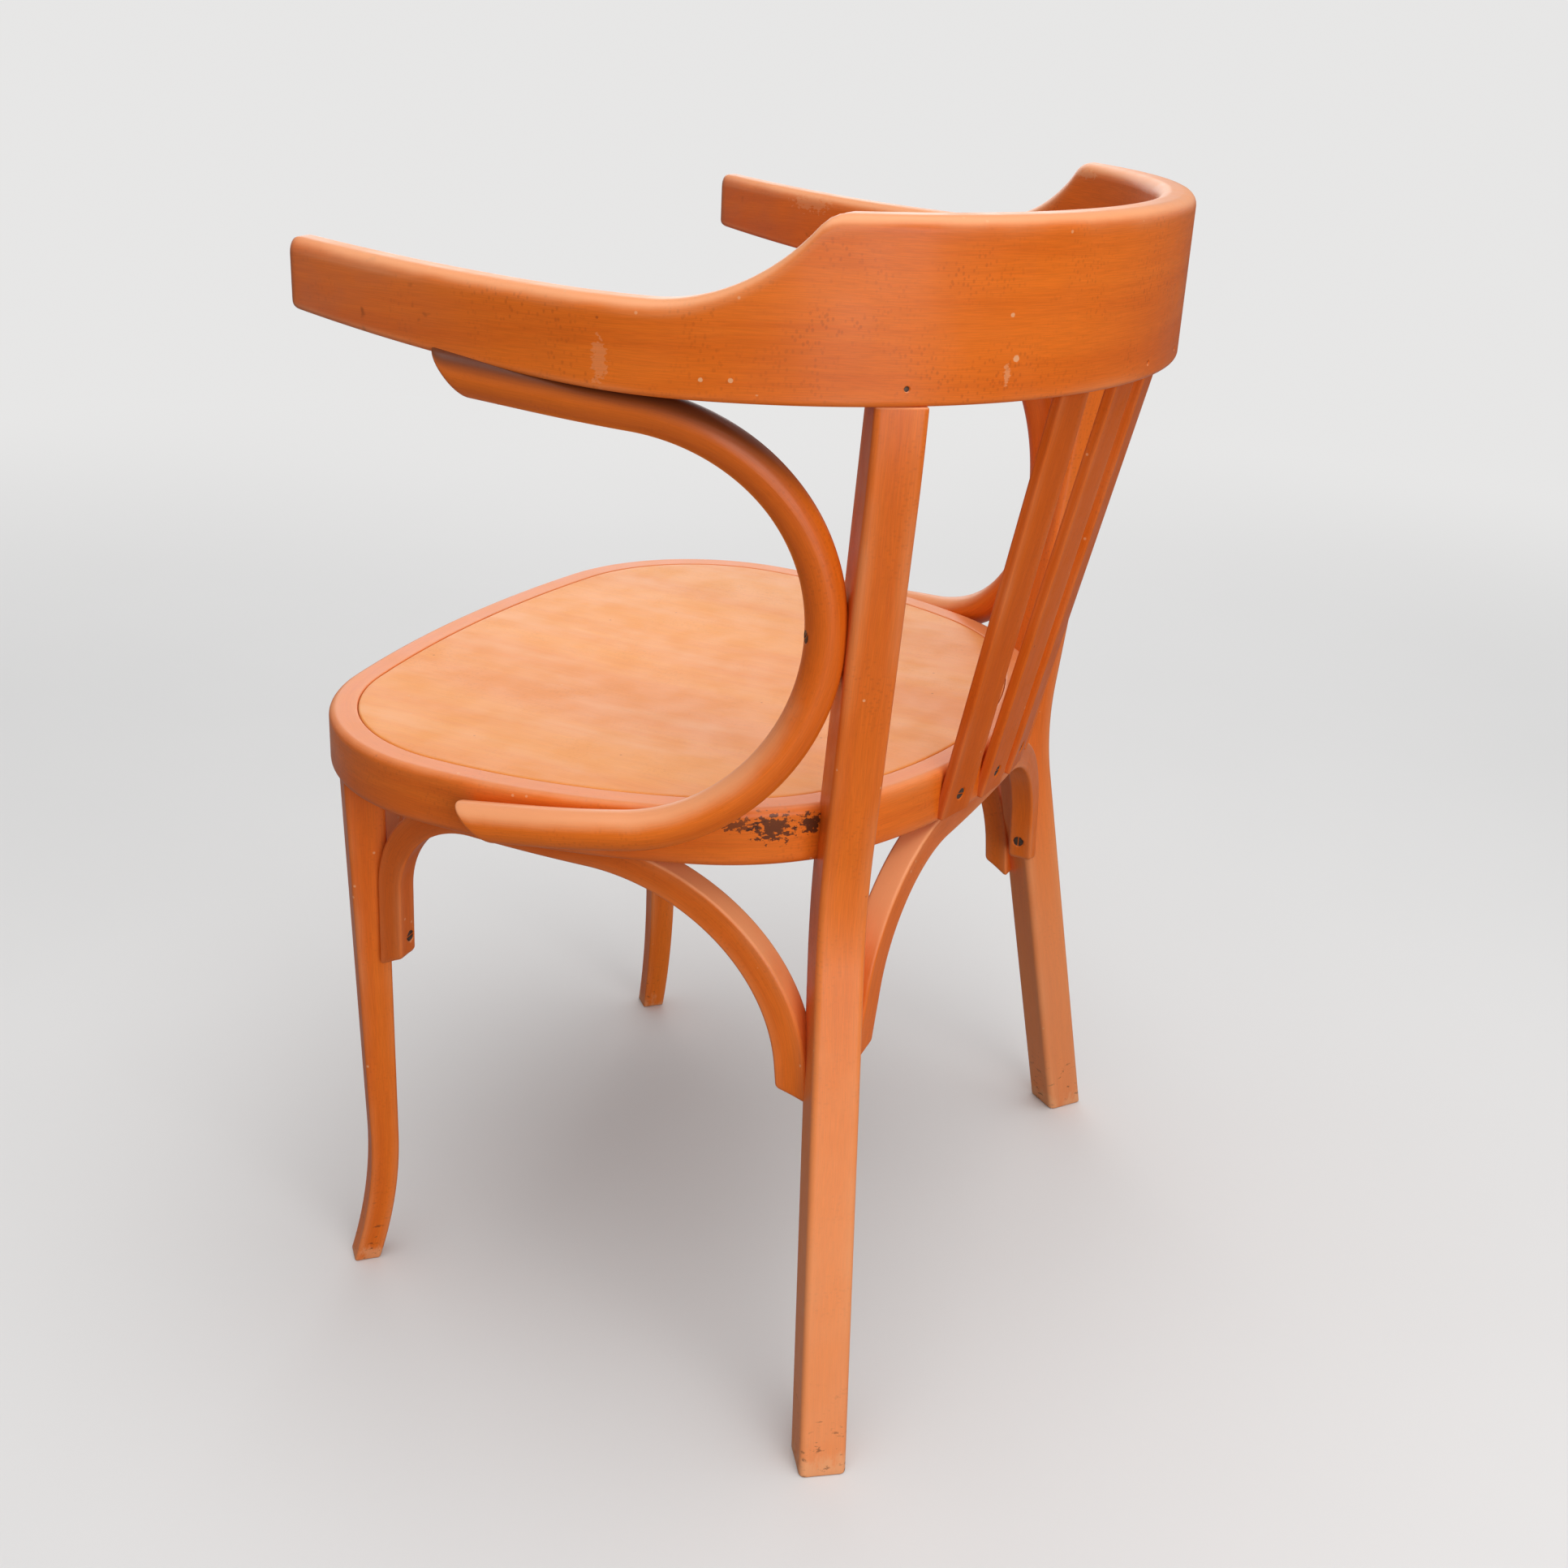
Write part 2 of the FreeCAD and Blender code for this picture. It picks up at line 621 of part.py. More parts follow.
class Slat:
    """One straight back slat, let into the ring's outer face and raked back to the rail."""

    def __init__(self, x):
        self.foot = V(x, REAR_CENTRE.y + math.sqrt(rear_edge_radius ** 2 - x * x), 0)
        self.angle = bearing(REAR_CENTRE, self.foot)
        self.out = V(math.cos(self.angle), math.sin(self.angle), 0)
        self.axis = at_height(self.foot + self.out * (slat_thickness / 2 - slat_housing), RING_MIDDLE)
        self.reach = reach_circle(self.axis, self.out, RAIL_CENTRE, RAIL_MIDDLE - slat_rail_inset)
        self.along = (self.out * self.reach + UP * (RAIL_UNDERSIDE - RING_MIDDLE)).normalize()
        self.rake = math.degrees(self.along.getAngle(UP))
        self.length = (RAIL_UNDERSIDE - RING_MIDDLE) / self.along.z + slat_tenon_length

    def blank(self, clearance, end_gap):
        half = slat_thickness / 2 + clearance
        wide = slat_width / 2 + clearance
        bar = Part.makeBox(2 * half, 2 * wide, slat_foot_drop + self.length + end_gap,
                           V(-half, -wide, -slat_foot_drop))
        if clearance == 0:
            bar = bar.makeFillet(slat_rounding, [e for e in bar.Edges if e.BoundBox.ZLength > slat_width])
        bar.rotate(V(0, 0, 0), V(0, 1, 0), self.rake)
        return placed_on(bar, math.degrees(self.angle), self.axis)

    def screw(self):
        normal = (self.out - self.along * self.out.dot(self.along)).normalize()
        face = self.axis + normal * (slat_thickness / 2 - screw_sink)
        return wood_screw(face, normal * -1, slat_thickness + screw_grip)

    def pin(self):
        middle = self.axis + self.out * self.reach
        away = bearing(RAIL_CENTRE, middle)
        face = polar(RAIL_CENTRE, rail_radius, away)
        return plain_pin(at_height(face, RAIL_UNDERSIDE + pin_rise), (RAIL_CENTRE - face).normalize())


# The arm loop's plan line: straight along the ring, then bent inwards to the rear leg
LOOP_R = loop_diameter / 2
LOOP_TURN = math.asin((FRONT_Y + loop_seat_back - SIDE_CENTRE.y) / side_radius)
LOOP_SEAT = polar(SIDE_CENTRE, side_radius + LOOP_R - loop_ring_housing, LOOP_TURN)
LOOP_ALONG = V(-math.sin(LOOP_TURN), math.cos(LOOP_TURN), 0)
LOOP_OUT = V(math.cos(LOOP_TURN), math.sin(LOOP_TURN), 0)
LOOP_LOW = seat_height - loop_seat_drop
LOOP_HIGH = arm_underside(LOOP_SEAT.y) - LOOP_R + loop_rail_housing
LOOP_LEAN = arm_middle_x(LOOP_SEAT.y) + loop_rail_offset - LOOP_SEAT.x
LOOP_MIDDLE = (LOOP_HIGH + LOOP_LOW) / 2
LOOP_TILT = math.radians(loop_tilt)


def loop_point(s, z):
    """A point of the loop's surface: s along the plan line, leaning in from ring to arm."""
    turn = max(s - loop_straight, 0) / loop_plan_radius
    point = LOOP_SEAT + LOOP_ALONG * min(s, loop_straight)
    point = point + LOOP_ALONG * (loop_plan_radius * math.sin(turn))
    point = point - LOOP_OUT * (loop_plan_radius * (1 - math.cos(turn)))
    lean = LOOP_LEAN * (z - LOOP_LOW) / (LOOP_HIGH - LOOP_LOW)
    return V(point.x + lean, point.y, z)


def upper_run(s):
    return loop_point(s, LOOP_HIGH - s * math.tan(LOOP_TILT))


def lower_run(s):
    return loop_point(s, LOOP_LOW + s * math.tan(LOOP_TILT))


def loop_bend(s_bend):
    """Radius of a bend centred at s_bend that is tangent to both runs."""
    return ((LOOP_HIGH - LOOP_LOW) / 2 - s_bend * math.tan(LOOP_TILT)) * math.cos(LOOP_TILT)


# Outward direction of the rear leg's front face, on which the loop bears
LOOP_FACE = V(REAR_OUT.y, -REAR_OUT.x, 0)


def loop_gap(s_bend):
    """Distance from the rear leg's seat to the loop's rearmost place, for a bend centred at s_bend."""
    rear = loop_point(s_bend + loop_bend(s_bend), LOOP_MIDDLE)
    want = rear_leg_side / 2 + LOOP_R - loop_leg_housing
    return (rear - rear_leg_middle(LOOP_MIDDLE)).dot(LOOP_FACE) - want


LOOP_HALVINGS = 60


def find_loop_bend():
    """Place of the bend's centre along the plan line, found by halving."""
    low = -LOOP_HIGH
    high = LOOP_HIGH
    for _ in range(LOOP_HALVINGS):
        middle = (low + high) / 2
        if loop_gap(middle) > 0:
            low = middle
        else:
            high = middle
    return low


LOOP_CENTRE = find_loop_bend()
LOOP_BEND = loop_bend(LOOP_CENTRE)
LOOP_JOIN = LOOP_CENTRE + LOOP_BEND * math.sin(LOOP_TILT)
LOOP_STEPS = 8


def loop_path(t):
    """The loop's axis: t 0 to 1 is the upper run, 1 to 2 the bend, 2 to 3 the lower run."""
    if t < 1:
        start = -loop_top_reach - loop_diameter
        return upper_run(start + (LOOP_JOIN - start) * t)
    if t > 2:
        end = -loop_bottom_reach - loop_diameter
        return lower_run(LOOP_JOIN + (end - LOOP_JOIN) * (t - 2))
    angle = (math.pi - 2 * LOOP_TILT) * (1.5 - t)
    return loop_point(LOOP_CENTRE + LOOP_BEND * math.cos(angle), LOOP_MIDDLE + LOOP_BEND * math.sin(angle))


def loop_tangent(t):
    step = 1e-4
    return (loop_path(min(t + step, 3)) - loop_path(max(t - step, 0))).normalize()


def loop_end(reach, z):
    """Wedge that cuts the end of a run on the slant, its upper edge further forward."""
    d = loop_diameter
    face = polygon([V(-reach - d, 0, z + d), V(-reach + d, 0, z - d),
                    V(-reach - 4 * d, 0, z - d), V(-reach - 4 * d, 0, z + d)])
    point = loop_point(0, z)
    return placed(thick(face, 4 * d), 90 + math.degrees(LOOP_TURN), V(point.x, point.y, 0))


def make_arm_loop(rear_leg):
    stops = [0, 0.5] + [1 + k / LOOP_STEPS for k in range(LOOP_STEPS + 1)] + [2.5, 3]
    edges = []
    for a, b in zip(stops, stops[1:]):
        edges += biarc(loop_path(a), loop_tangent(a), loop_path(b), loop_tangent(b))
    section = Part.Wire(Part.Circle(loop_path(0), loop_tangent(0), LOOP_R).toShape())
    rod = Part.Wire(edges).makePipeShell([section], True, False)
    rod = rod.cut(rail_slab())
    rod = rod.cut(prism(seat_outline(0), RING_BOTTOM - overrun, seat_height + overrun))
    for tool in (rear_leg, loop_end(loop_top_reach, LOOP_HIGH), loop_end(loop_bottom_reach, LOOP_LOW)):
        rod = rod.cut(tool)
    return one_solid(rod)


def loop_arm_screw():
    point = loop_point(0, LOOP_HIGH) - UP * (LOOP_R - screw_sink)
    return wood_screw(point, UP, loop_diameter - loop_rail_housing + screw_grip)


def loop_leg_screw():
    rear = loop_point(LOOP_CENTRE + LOOP_BEND, LOOP_MIDDLE)
    way = (rear_leg_middle(LOOP_MIDDLE) - rear).normalize()
    return wood_screw(rear - way * (LOOP_R - screw_sink), way, loop_diameter + screw_grip)


def loop_seat_screw(s):
    outside = lower_run(s)
    turn = bearing(SIDE_CENTRE, outside)
    inside = polar(SIDE_CENTRE, side_radius - ring_width + screw_sink, turn)
    direction = V(math.cos(turn), math.sin(turn), 0)
    return wood_screw(at_height(inside, outside.z), direction, ring_width + LOOP_R)


# The two inner corners of a square leg, in degrees from its bearing
INNER_CORNER_A = 135
INNER_CORNER_B = 225


class BraceEnd:
    """Where a brace ends on a leg: the leg's corner, the end's height, its bend and its slope."""

    def __init__(self, corner, fall, height, bend):
        self.corner = corner
        self.fall = fall
        self.height = height
        self.bend = bend


def corner_of(middle, half, rounding, degrees):
    """Rounded corner of a square leg, pointing along degrees in plan."""
    reach = half * math.sqrt(2) - rounding * (math.sqrt(2) - 1)
    return middle + heading(degrees) * reach


def rear_leg_end(height, bend, turn):
    seat = height + brace_seat_rise
    middle = rear_leg_middle(seat)
    corner = corner_of(middle, rear_leg_side / 2, rear_leg_rounding, rear_leg_bearing + turn)
    return BraceEnd(corner, REAR_DESCENT, height, bend)


def front_leg_end(height, bend, turn):
    seat = height + brace_seat_rise
    corner = corner_of(front_leg_middle(seat), front_leg_half(seat), front_leg_rounding,
                       front_leg_bearing + turn)
    fall = FRONT_ACROSS * (-front_leg_lean / RING_BOTTOM)
    return BraceEnd(corner, fall, height, bend)


def reversed_x(v):
    return V(-v.x, v.y, v.z)


def mirrored_end(end):
    return BraceEnd(reversed_x(end.corner), reversed_x(end.fall), end.height, end.bend)


class Brace:
    """A strip bent into an arch between two legs, with its crown under the ring."""

    def __init__(self, first, second, crown):
        self.ends = (first, second)
        flat = at_height(second.corner - first.corner, 0)
        self.along = flat.normalize()
        self.angle = math.degrees(math.atan2(self.along.y, self.along.x))
        self.origin = at_height((first.corner + second.corner) * 0.5, 0)
        self.crown = crown
        plan = Part.Arc(at_height(first.corner, 0), crown, at_height(second.corner, 0)).toShape().Curve
        self.centre = plan.Center
        self.radius = plan.Radius

    def local(self, end, side):
        """Outer line of one end: its place at the seat, its slope, and its tangent point at the crown."""
        place = (end.corner - self.origin).dot(self.along) + side * brace_bite
        slope = math.atan(end.fall.dot(self.along) * side)
        base = end.corner.z
        middle_z = RING_BOTTOM - end.bend
        foot_z = middle_z + end.bend * math.sin(slope)
        reach = end.bend * math.cos(slope) + (base - foot_z) * -math.tan(slope)
        middle = V(place - side * reach, 0, middle_z)
        return middle, slope

    def edges(self, depth):
        """The arch's outer edge, moved inwards by depth, from its first end to its second."""
        points = []
        for end, side in zip(self.ends, (-1, 1)):
            middle, slope = self.local(end, side)
            r = end.bend - depth
            top = middle + UP * r
            crest = (math.pi / 2 + slope) / 2
            spread = middle + V(side * r * math.cos(crest), 0, r * math.sin(crest))
            shoulder = middle + V(side * r * math.cos(slope), 0, r * math.sin(slope))
            drop = shoulder.z - end.height
            tip = shoulder + V(side * drop * math.tan(slope), 0, -drop)
            points.append((tip, shoulder, spread, top))
        a, b = points
        edges = [line(a[0], a[1]), Part.Arc(a[1], a[2], a[3]).toShape(), line(a[3], b[3]),
                 Part.Arc(b[3], b[2], b[1]).toShape(), line(b[1], b[0])]
        return edges, a[0], b[0]

    def blank(self, legs):
        outer, a, b = self.edges(0)
        inner, c, d = self.edges(brace_thickness)
        face = Part.Face(wire(outer + inner + [line(a, c), line(b, d)]))
        width = 2 * (self.crown - self.origin).Length + 4 * brace_width
        arch = placed(thick(face, width), self.angle, self.origin)
        tall = RING_BOTTOM + overrun
        band = Part.makeCylinder(self.radius + brace_width / 2, tall, self.centre)
        band = band.cut(Part.makeCylinder(self.radius - brace_width / 2, tall, self.centre))
        strip = one_solid(arch.common(band))
        strip = rounded_along(strip, brace_rounding, [end.height for end in self.ends])
        for leg in legs:
            strip = strip.cut(leg)
        return one_solid(strip)

    def leg_screws(self):
        pairs = []
        for end, side in zip(self.ends, (-1, 1)):
            way = self.along * side
            face = end.corner + way * (brace_bite - brace_thickness + screw_sink)
            pairs.append(wood_screw(face, way, brace_thickness + screw_grip))
        return pairs

    def crown_screw(self):
        point = at_height(self.crown, RING_BOTTOM - brace_thickness + screw_sink)
        return wood_screw(point, UP, brace_thickness + screw_grip)


def rear_lag():
    """The lag screw of the left rear leg, from a washer let into the ring's inner face."""
    inward = REAR_OUT * -1
    to_inside = enter_circle(REAR_AXIS, inward, REAR_CORNER, rear_corner_radius - ring_width)
    back = to_inside - washer_recess + washer_thickness
    length = back - rear_leg_side / 2 + lag_grip
    return lag_screw(at_height(REAR_AXIS + inward * back, RING_MIDDLE), REAR_OUT, length)


def rear_leg_pin():
    face = polar(RAIL_CENTRE, rail_radius, bearing(RAIL_CENTRE, REAR_TOP_POINT))
    return plain_pin(at_height(face, RAIL_UNDERSIDE + pin_rise), (RAIL_CENTRE - face).normalize())


def make_braces():
    """The left side brace, the rear brace and the front brace."""
    side_ends = (front_leg_end(side_front_end, side_front_bend, INNER_CORNER_A),
                 rear_leg_end(side_rear_end, side_rear_bend, INNER_CORNER_B))
    middle = (side_ends[0].corner + side_ends[1].corner) * 0.5
    side_crown = polar(SIDE_CENTRE, side_radius - side_brace_inset, bearing(SIDE_CENTRE, middle))
    rear_end = rear_leg_end(rear_brace_end, cross_bend, INNER_CORNER_A)
    front_end = front_leg_end(front_brace_end, cross_bend, INNER_CORNER_B)
    return (Brace(side_ends[0], side_ends[1], side_crown),
            Brace(mirrored_end(rear_end), rear_end, V(0, rear_end.corner.y + rear_brace_bow, 0)),
            Brace(mirrored_end(front_end), front_end, V(0, FRONT_Y + front_brace_inset, 0)))


def without(shape, tools):
    for tool in tools:
        shape = shape.cut(tool)
    return one_solid(shape)


def solids_of(pairs):
    return [pair[0] for pair in pairs]


def holes_of(pairs):
    return [pair[1] for pair in pairs]


def export(name, shapes):
    shape = shapes[0] if len(shapes) == 1 else Part.makeCompound(shapes)
    shape.exportStep(os.path.join("parts", name + ".step"))


def export_sides(name, left):
    export(name + "_left", [left])
    export(name + "_right", [mirrored(left)])


def main():
    os.makedirs("parts", exist_ok=True)
    rear_blank = make_rear_leg()
    front_blank = make_front_leg()
    rear_blanks = both([rear_blank])
    front_blanks = both([front_blank])
    slats = [Slat(slat_pitch * (k - (slat_count - 1) / 2)) for k in range(slat_count)]
    side_brace, rear_brace, front_brace = make_braces()

    slat_screws = [slat.screw() for slat in slats]
    slat_pins = [slat.pin() for slat in slats]
    leg_pin = rear_leg_pin()
    arm_screw = loop_arm_screw()
    leg_screw = loop_leg_screw()
    seat_screws = [loop_seat_screw(0), loop_seat_screw(loop_screw_spread)]
    side_leg_screws = side_brace.leg_screws()
    cross_leg_screws = rear_brace.leg_screws() + front_brace.leg_screws()
    side_crown_screw = side_brace.crown_screw()
    cross_crown_screws = [rear_brace.crown_screw(), front_brace.crown_screw()]
    lag, washer, lag_hole = rear_lag()

    leg_holes = holes_of(side_leg_screws + cross_leg_screws)
    rear_leg = without(rear_blank, leg_holes + [lag_hole, leg_screw[1], leg_pin[1]])
    export_sides("rear_leg", rear_leg)
    export_sides("front_leg", without(front_blank, leg_holes))

    ring_tools = rear_blanks + [slat.blank(0, 0) for slat in slats]
    ring_tools += both([front_mortise(), lag_hole, side_crown_screw[1]] + holes_of(seat_screws))
    ring_tools += holes_of(slat_screws + cross_crown_screws)
    export("seat_ring", [without(make_seat_ring(), ring_tools)])
    export("seat_panel", [one_solid(make_seat_panel())])

    rail_tools = both([rear_mortise(), leg_pin[1], arm_screw[1]]) + holes_of(slat_pins)
    rail_tools += [slat.blank(tenon_clearance, tenon_end_gap) for slat in slats]
    export("arm_rail", [without(make_rail(), rail_tools)])

    loop = without(make_arm_loop(rear_blank), [arm_screw[1], leg_screw[1]] + holes_of(seat_screws))
    export_sides("arm_loop", loop)

    for number, slat in enumerate(slats, 1):
        export("back_slat_%d" % number, [without(slat.blank(0, 0), [slat.screw()[1], slat.pin()[1]])])

    side_holes = holes_of(side_leg_screws) + [side_crown_screw[1]]
    export_sides("side_brace", without(side_brace.blank([rear_blank, front_blank]), side_holes))
    cross_braces = (("rear_brace", rear_brace, rear_blanks), ("front_brace", front_brace, front_blanks))
    for name, brace, legs in cross_braces:
        holes = holes_of(brace.leg_screws()) + [brace.crown_screw()[1]]
        export(name, [without(brace.blank(legs), holes)])

    export("slat_screws", solids_of(slat_screws))
    export("brace_leg_screws", both(solids_of(side_leg_screws)) + solids_of(cross_leg_screws))
    export("brace_seat_screws", both([side_crown_screw[0]]) + solids_of(cross_crown_screws))
    export("rear_leg_screws", both([lag]))
    export("rear_leg_washers", both([washer]))
    export("loop_arm_screws", both([arm_screw[0]]))
    export("loop_post_screws", both([leg_screw[0]]))
    export("loop_seat_screws", both(solids_of(seat_screws)))
    export("rail_pins", both([leg_pin[0]]) + solids_of(slat_pins))


main()
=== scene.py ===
"""The looks of a bentwood armchair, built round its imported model."""

import math

import bpy
import numpy as np
from mathutils import Matrix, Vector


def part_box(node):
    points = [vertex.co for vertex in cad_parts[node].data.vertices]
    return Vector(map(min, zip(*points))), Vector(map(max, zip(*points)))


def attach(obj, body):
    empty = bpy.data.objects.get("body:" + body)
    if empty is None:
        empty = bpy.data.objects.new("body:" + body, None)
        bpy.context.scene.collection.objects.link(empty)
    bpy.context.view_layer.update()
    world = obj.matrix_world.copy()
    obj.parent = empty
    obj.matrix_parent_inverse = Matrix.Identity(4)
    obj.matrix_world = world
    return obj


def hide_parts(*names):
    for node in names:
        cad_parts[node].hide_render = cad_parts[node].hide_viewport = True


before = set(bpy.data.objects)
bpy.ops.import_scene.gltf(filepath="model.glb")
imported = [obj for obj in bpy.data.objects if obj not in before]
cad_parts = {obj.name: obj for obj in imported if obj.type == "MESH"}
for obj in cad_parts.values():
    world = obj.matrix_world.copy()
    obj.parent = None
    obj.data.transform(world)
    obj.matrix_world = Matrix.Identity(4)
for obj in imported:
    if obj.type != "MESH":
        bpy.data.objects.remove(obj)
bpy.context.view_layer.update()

bl_info = {
    "name": "Bentwood Armchair",
    "version": (1, 0, 0),
    "blender": (4, 5, 0),
    "location": "3D View > Sidebar > Chair",
    "description": "Builds the wood, the fixings and the stage of a bentwood armchair",
    "category": "Object",
}

RING_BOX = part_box("seat_ring")
RAIL_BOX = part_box("arm_rail")
FRONT_Y = RING_BOX[0].y
BACK_Y = RAIL_BOX[1].y
SEAT_TOP = RING_BOX[1].z
RING_BOTTOM = RING_BOX[0].z
RING_MIDDLE = (SEAT_TOP + RING_BOTTOM) / 2
BACK_TOP = RAIL_BOX[1].z
RAIL_UNDERSIDE = RAIL_BOX[0].z
UP = np.array((0.0, 0.0, 1.0))
MIRROR = np.array((-1.0, 1.0, 1.0))


def length(name, description, default):
    return bpy.props.FloatProperty(name=name, description=description, default=default, unit="LENGTH",
                                   precision=4)


def turn(name, description, degrees):
    return bpy.props.FloatProperty(name=name, description=description, default=math.radians(degrees),
                                   unit="ROTATION")


def colour(name, description, default):
    return bpy.props.FloatVectorProperty(name=name, description=description, default=default, size=4,
                                         subtype="COLOR", min=0, max=1)


class SeatSizes(bpy.types.PropertyGroup):
    """The hoop of the seat and the board inside it."""

    depth: length("Depth", "Front edge to rear edge of the hoop", 0.443)
    widest: length("Widest place", "From the front edge back to the widest place", 0.157)
    front_radius: length("Front edge", "Radius of the front edge in plan", 0.920)
    front_corner: length("Front corner", "Radius of the front corners", 0.140)
    side_radius: length("Side", "Radius of the sides", 0.417)
    rear_corner: length("Rear corner", "Radius of the rear corners", 0.163)
    rear_radius: length("Rear edge", "Radius of the rear edge", 0.336)
    hoop_width: length("Hoop width", "Outer to inner face of the hoop", 0.046)
    rounding: length("Rounding", "Rounding of the hoop's outer edges", 0.005)
    lip: length("Lip", "Width of hoop outside the board", 0.019)
    board: length("Board", "Thickness of the seat board", 0.007)
    gap: length("Gap", "Gap between board and hoop", 0.0003)
    board_edge: length("Board edge", "Rounding at the board's edge", 0.0014)
    dish_reach: length("Dish", "Radius of the dished part in plan", 0.165)
    dish_depth: length("Dish depth", "Depth of the dish", 0.003)


class RailSizes(bpy.types.PropertyGroup):
    """The board bent into back and arms."""

    radius: length("Radius", "Outer face in plan", 0.273)
    thickness: length("Thickness", "Thickness of the board", 0.024)
    straight: length("Straight", "Straight length of an arm", 0.175)
    flare: turn("Flare", "How far each arm opens outwards", 2.0)
    arm_drop: length("Arm drop", "Lowest place of the arm's top below the top of the back", 0.049)
    top_radius: length("Arm top", "Radius of the arm's top edge in side view", 2.0)
    lift: length("Lift", "From the back to where the underside starts to rise", 0.1845)
    under_radius: length("Underside", "Radius of the rising underside", 1.35)
    scoop: length("Scoop", "Radius of the scoop between back and arm", 0.105)
    scoop_back: length("Scoop place", "From the back to the top of the scoop", 0.120)
    scoop_corner: length("Scoop corner", "Radius at the top of the scoop", 0.014)
    tip_rounding: length("Tip", "Rounding of the arm's tip", 0.007)
    top_rounding: length("Top edges", "Rounding of the top edges", 0.008)
    under_rounding: length("Lower edges", "Rounding of the lower edges", 0.003)


class LegSizes(bpy.types.PropertyGroup):
    """The rear legs with their posts, and the front legs."""

    rear_side: length("Rear side", "Side of the rear leg's square section", 0.031)
    rear_bearing: turn("Rear bearing", "Direction of the rear leg's bend, from +X", 36.0)
    rear_place: turn("Rear place", "Place of the rear leg round the hoop's rear corner", 56.5)
    rear_housing: length("Rear housing", "Depth of the rear leg in the hoop", 0.005)
    rear_tilt: turn("Rear tilt", "Rearward tip of the rear leg's plane", 1.5)
    rear_splay: length("Rear splay", "Foot outwards of the leg's place at the hoop", 0.084)
    knee_height: length("Knee", "Height of the rear leg's bend", 0.366)
    knee_radius: length("Knee radius", "Radius of the rear leg's bend", 0.250)
    ease: length("Ease", "How far the post's outer face is drawn in under the rail", 0.0042)
    ease_length: length("Ease length", "Length of post over which it is drawn in", 0.060)
    rear_rounding: length("Rear rounding", "Rounding of the rear leg's edges", 0.004)
    front_bearing: turn("Front bearing", "Direction in which the front leg faces, from +X", -45.0)
    front_place: turn("Front place", "Place of the front leg round the hoop's front corner", -42.0)
    front_inset: length("Front inset", "Hoop's outer face to the front leg's axis", 0.018)
    front_top: length("Front top", "Width of the front leg at its top", 0.027)
    front_waist: length("Front waist", "Width of the front leg at its waist", 0.020)
    front_foot: length("Front foot", "Width of the front leg at its foot", 0.019)
    waist_height: length("Waist height", "Height of the front leg's waist", 0.110)
    waist_inset: length("Waist inset", "Inward sweep at the waist", 0.005)
    foot_kick: length("Foot kick", "Outward kick of the foot", 0.011)
    lean: length("Lean", "Sideways lean of the front leg", 0.006)
    front_rounding: length("Front rounding", "Rounding of the front leg's edges", 0.003)
    foot_rounding: length("Foot rounding", "Rounding at the floor", 0.0015)


class SlatSizes(bpy.types.PropertyGroup):
    """The straight slats of the back."""

    count: bpy.props.IntProperty(name="Count", description="Number of slats", default=4, min=1)
    pitch: length("Pitch", "Distance from slat to slat at the hoop", 0.049)
    width: length("Width", "Width of a slat", 0.032)
    thickness: length("Thickness", "Thickness of a slat", 0.007)
    foot_drop: length("Foot", "Foot of the slat below its screw", 0.016)
    housing: length("Housing", "Depth of the slat in the hoop at its screw", 0.001)
    tenon: length("Tenon", "Length of the slat in the rail", 0.014)
    rounding: length("Rounding", "Rounding of the slat's edges", 0.0015)
    inset: length("Inset", "Slat's middle inside the rail's middle", 0.003)


class LoopSizes(bpy.types.PropertyGroup):
    """The rods bent into loops between hoop, post and arm."""

    diameter: length("Diameter", "Diameter of the rod", 0.025)
    seat_back: length("Place", "From the seat's front to where the loop lies along the hoop", 0.216)
    seat_drop: length("Drop", "Axis of the lower run below the seat", 0.0185)
    straight: length("Straight", "Straight length in plan", 0.019)
    plan_radius: length("Plan radius", "Radius of the loop's inward bend in plan", 0.340)
    tilt: turn("Tilt", "How far each run opens away from the other", 5.5)
    top_reach: length("Top reach", "Forward end of the upper run", 0.033)
    bottom_reach: length("Bottom reach", "Forward end of the lower run", 0.020)
    rail_offset: length("Rail offset", "Upper run outside the arm's middle", 0.004)
    rail_housing: length("Rail housing", "Depth of the rod in the arm", 0.004)
    hoop_housing: length("Hoop housing", "Depth of the rod in the hoop", 0.0015)
    leg_housing: length("Leg housing", "Depth of the rod in the post", 0.0015)
    end_rounding: length("End rounding", "Rounding of the rod's ends", 0.003)


class BraceSizes(bpy.types.PropertyGroup):
    """The arched braces under the hoop."""

    thickness: length("Thickness", "Thickness of a brace, round its arch", 0.020)
    width: length("Width", "Width of a brace", 0.018)
    bite: length("Bite", "Depth of the leg's corner in the brace", 0.003)
    rounding: length("Rounding", "Rounding of the long edges", 0.002)
    end_rounding: length("End rounding", "Rounding of the ends", 0.003)
    slant: length("Slant", "How much shorter the free side of an end is than the side on the leg", 0.014)
    side_inset: length("Side inset", "Side brace's crown inside the hoop's outer face", 0.036)
    front_inset: length("Front inset", "Front brace's crown inside the hoop's front", 0.038)
    rear_bow: length("Rear bow", "Rear brace's crown behind its ends", 0.008)
    side_front_bend: length("Side front bend", "Radius of the side brace's front bend", 0.080)
    side_rear_bend: length("Side rear bend", "Radius of the side brace's rear bend", 0.150)
    cross_bend: length("Cross bend", "Radius of the front and rear braces' bends", 0.112)
    side_front_end: length("Side front end", "Height of the side brace's front end", 0.252)
    side_rear_end: length("Side rear end", "Height of the side brace's rear end", 0.230)
    rear_end: length("Rear end", "Height of the rear brace's ends", 0.254)
    front_end: length("Front end", "Height of the front brace's ends", 0.250)
    seat_rise: length("Seat rise", "Screw above the end of the brace", 0.024)


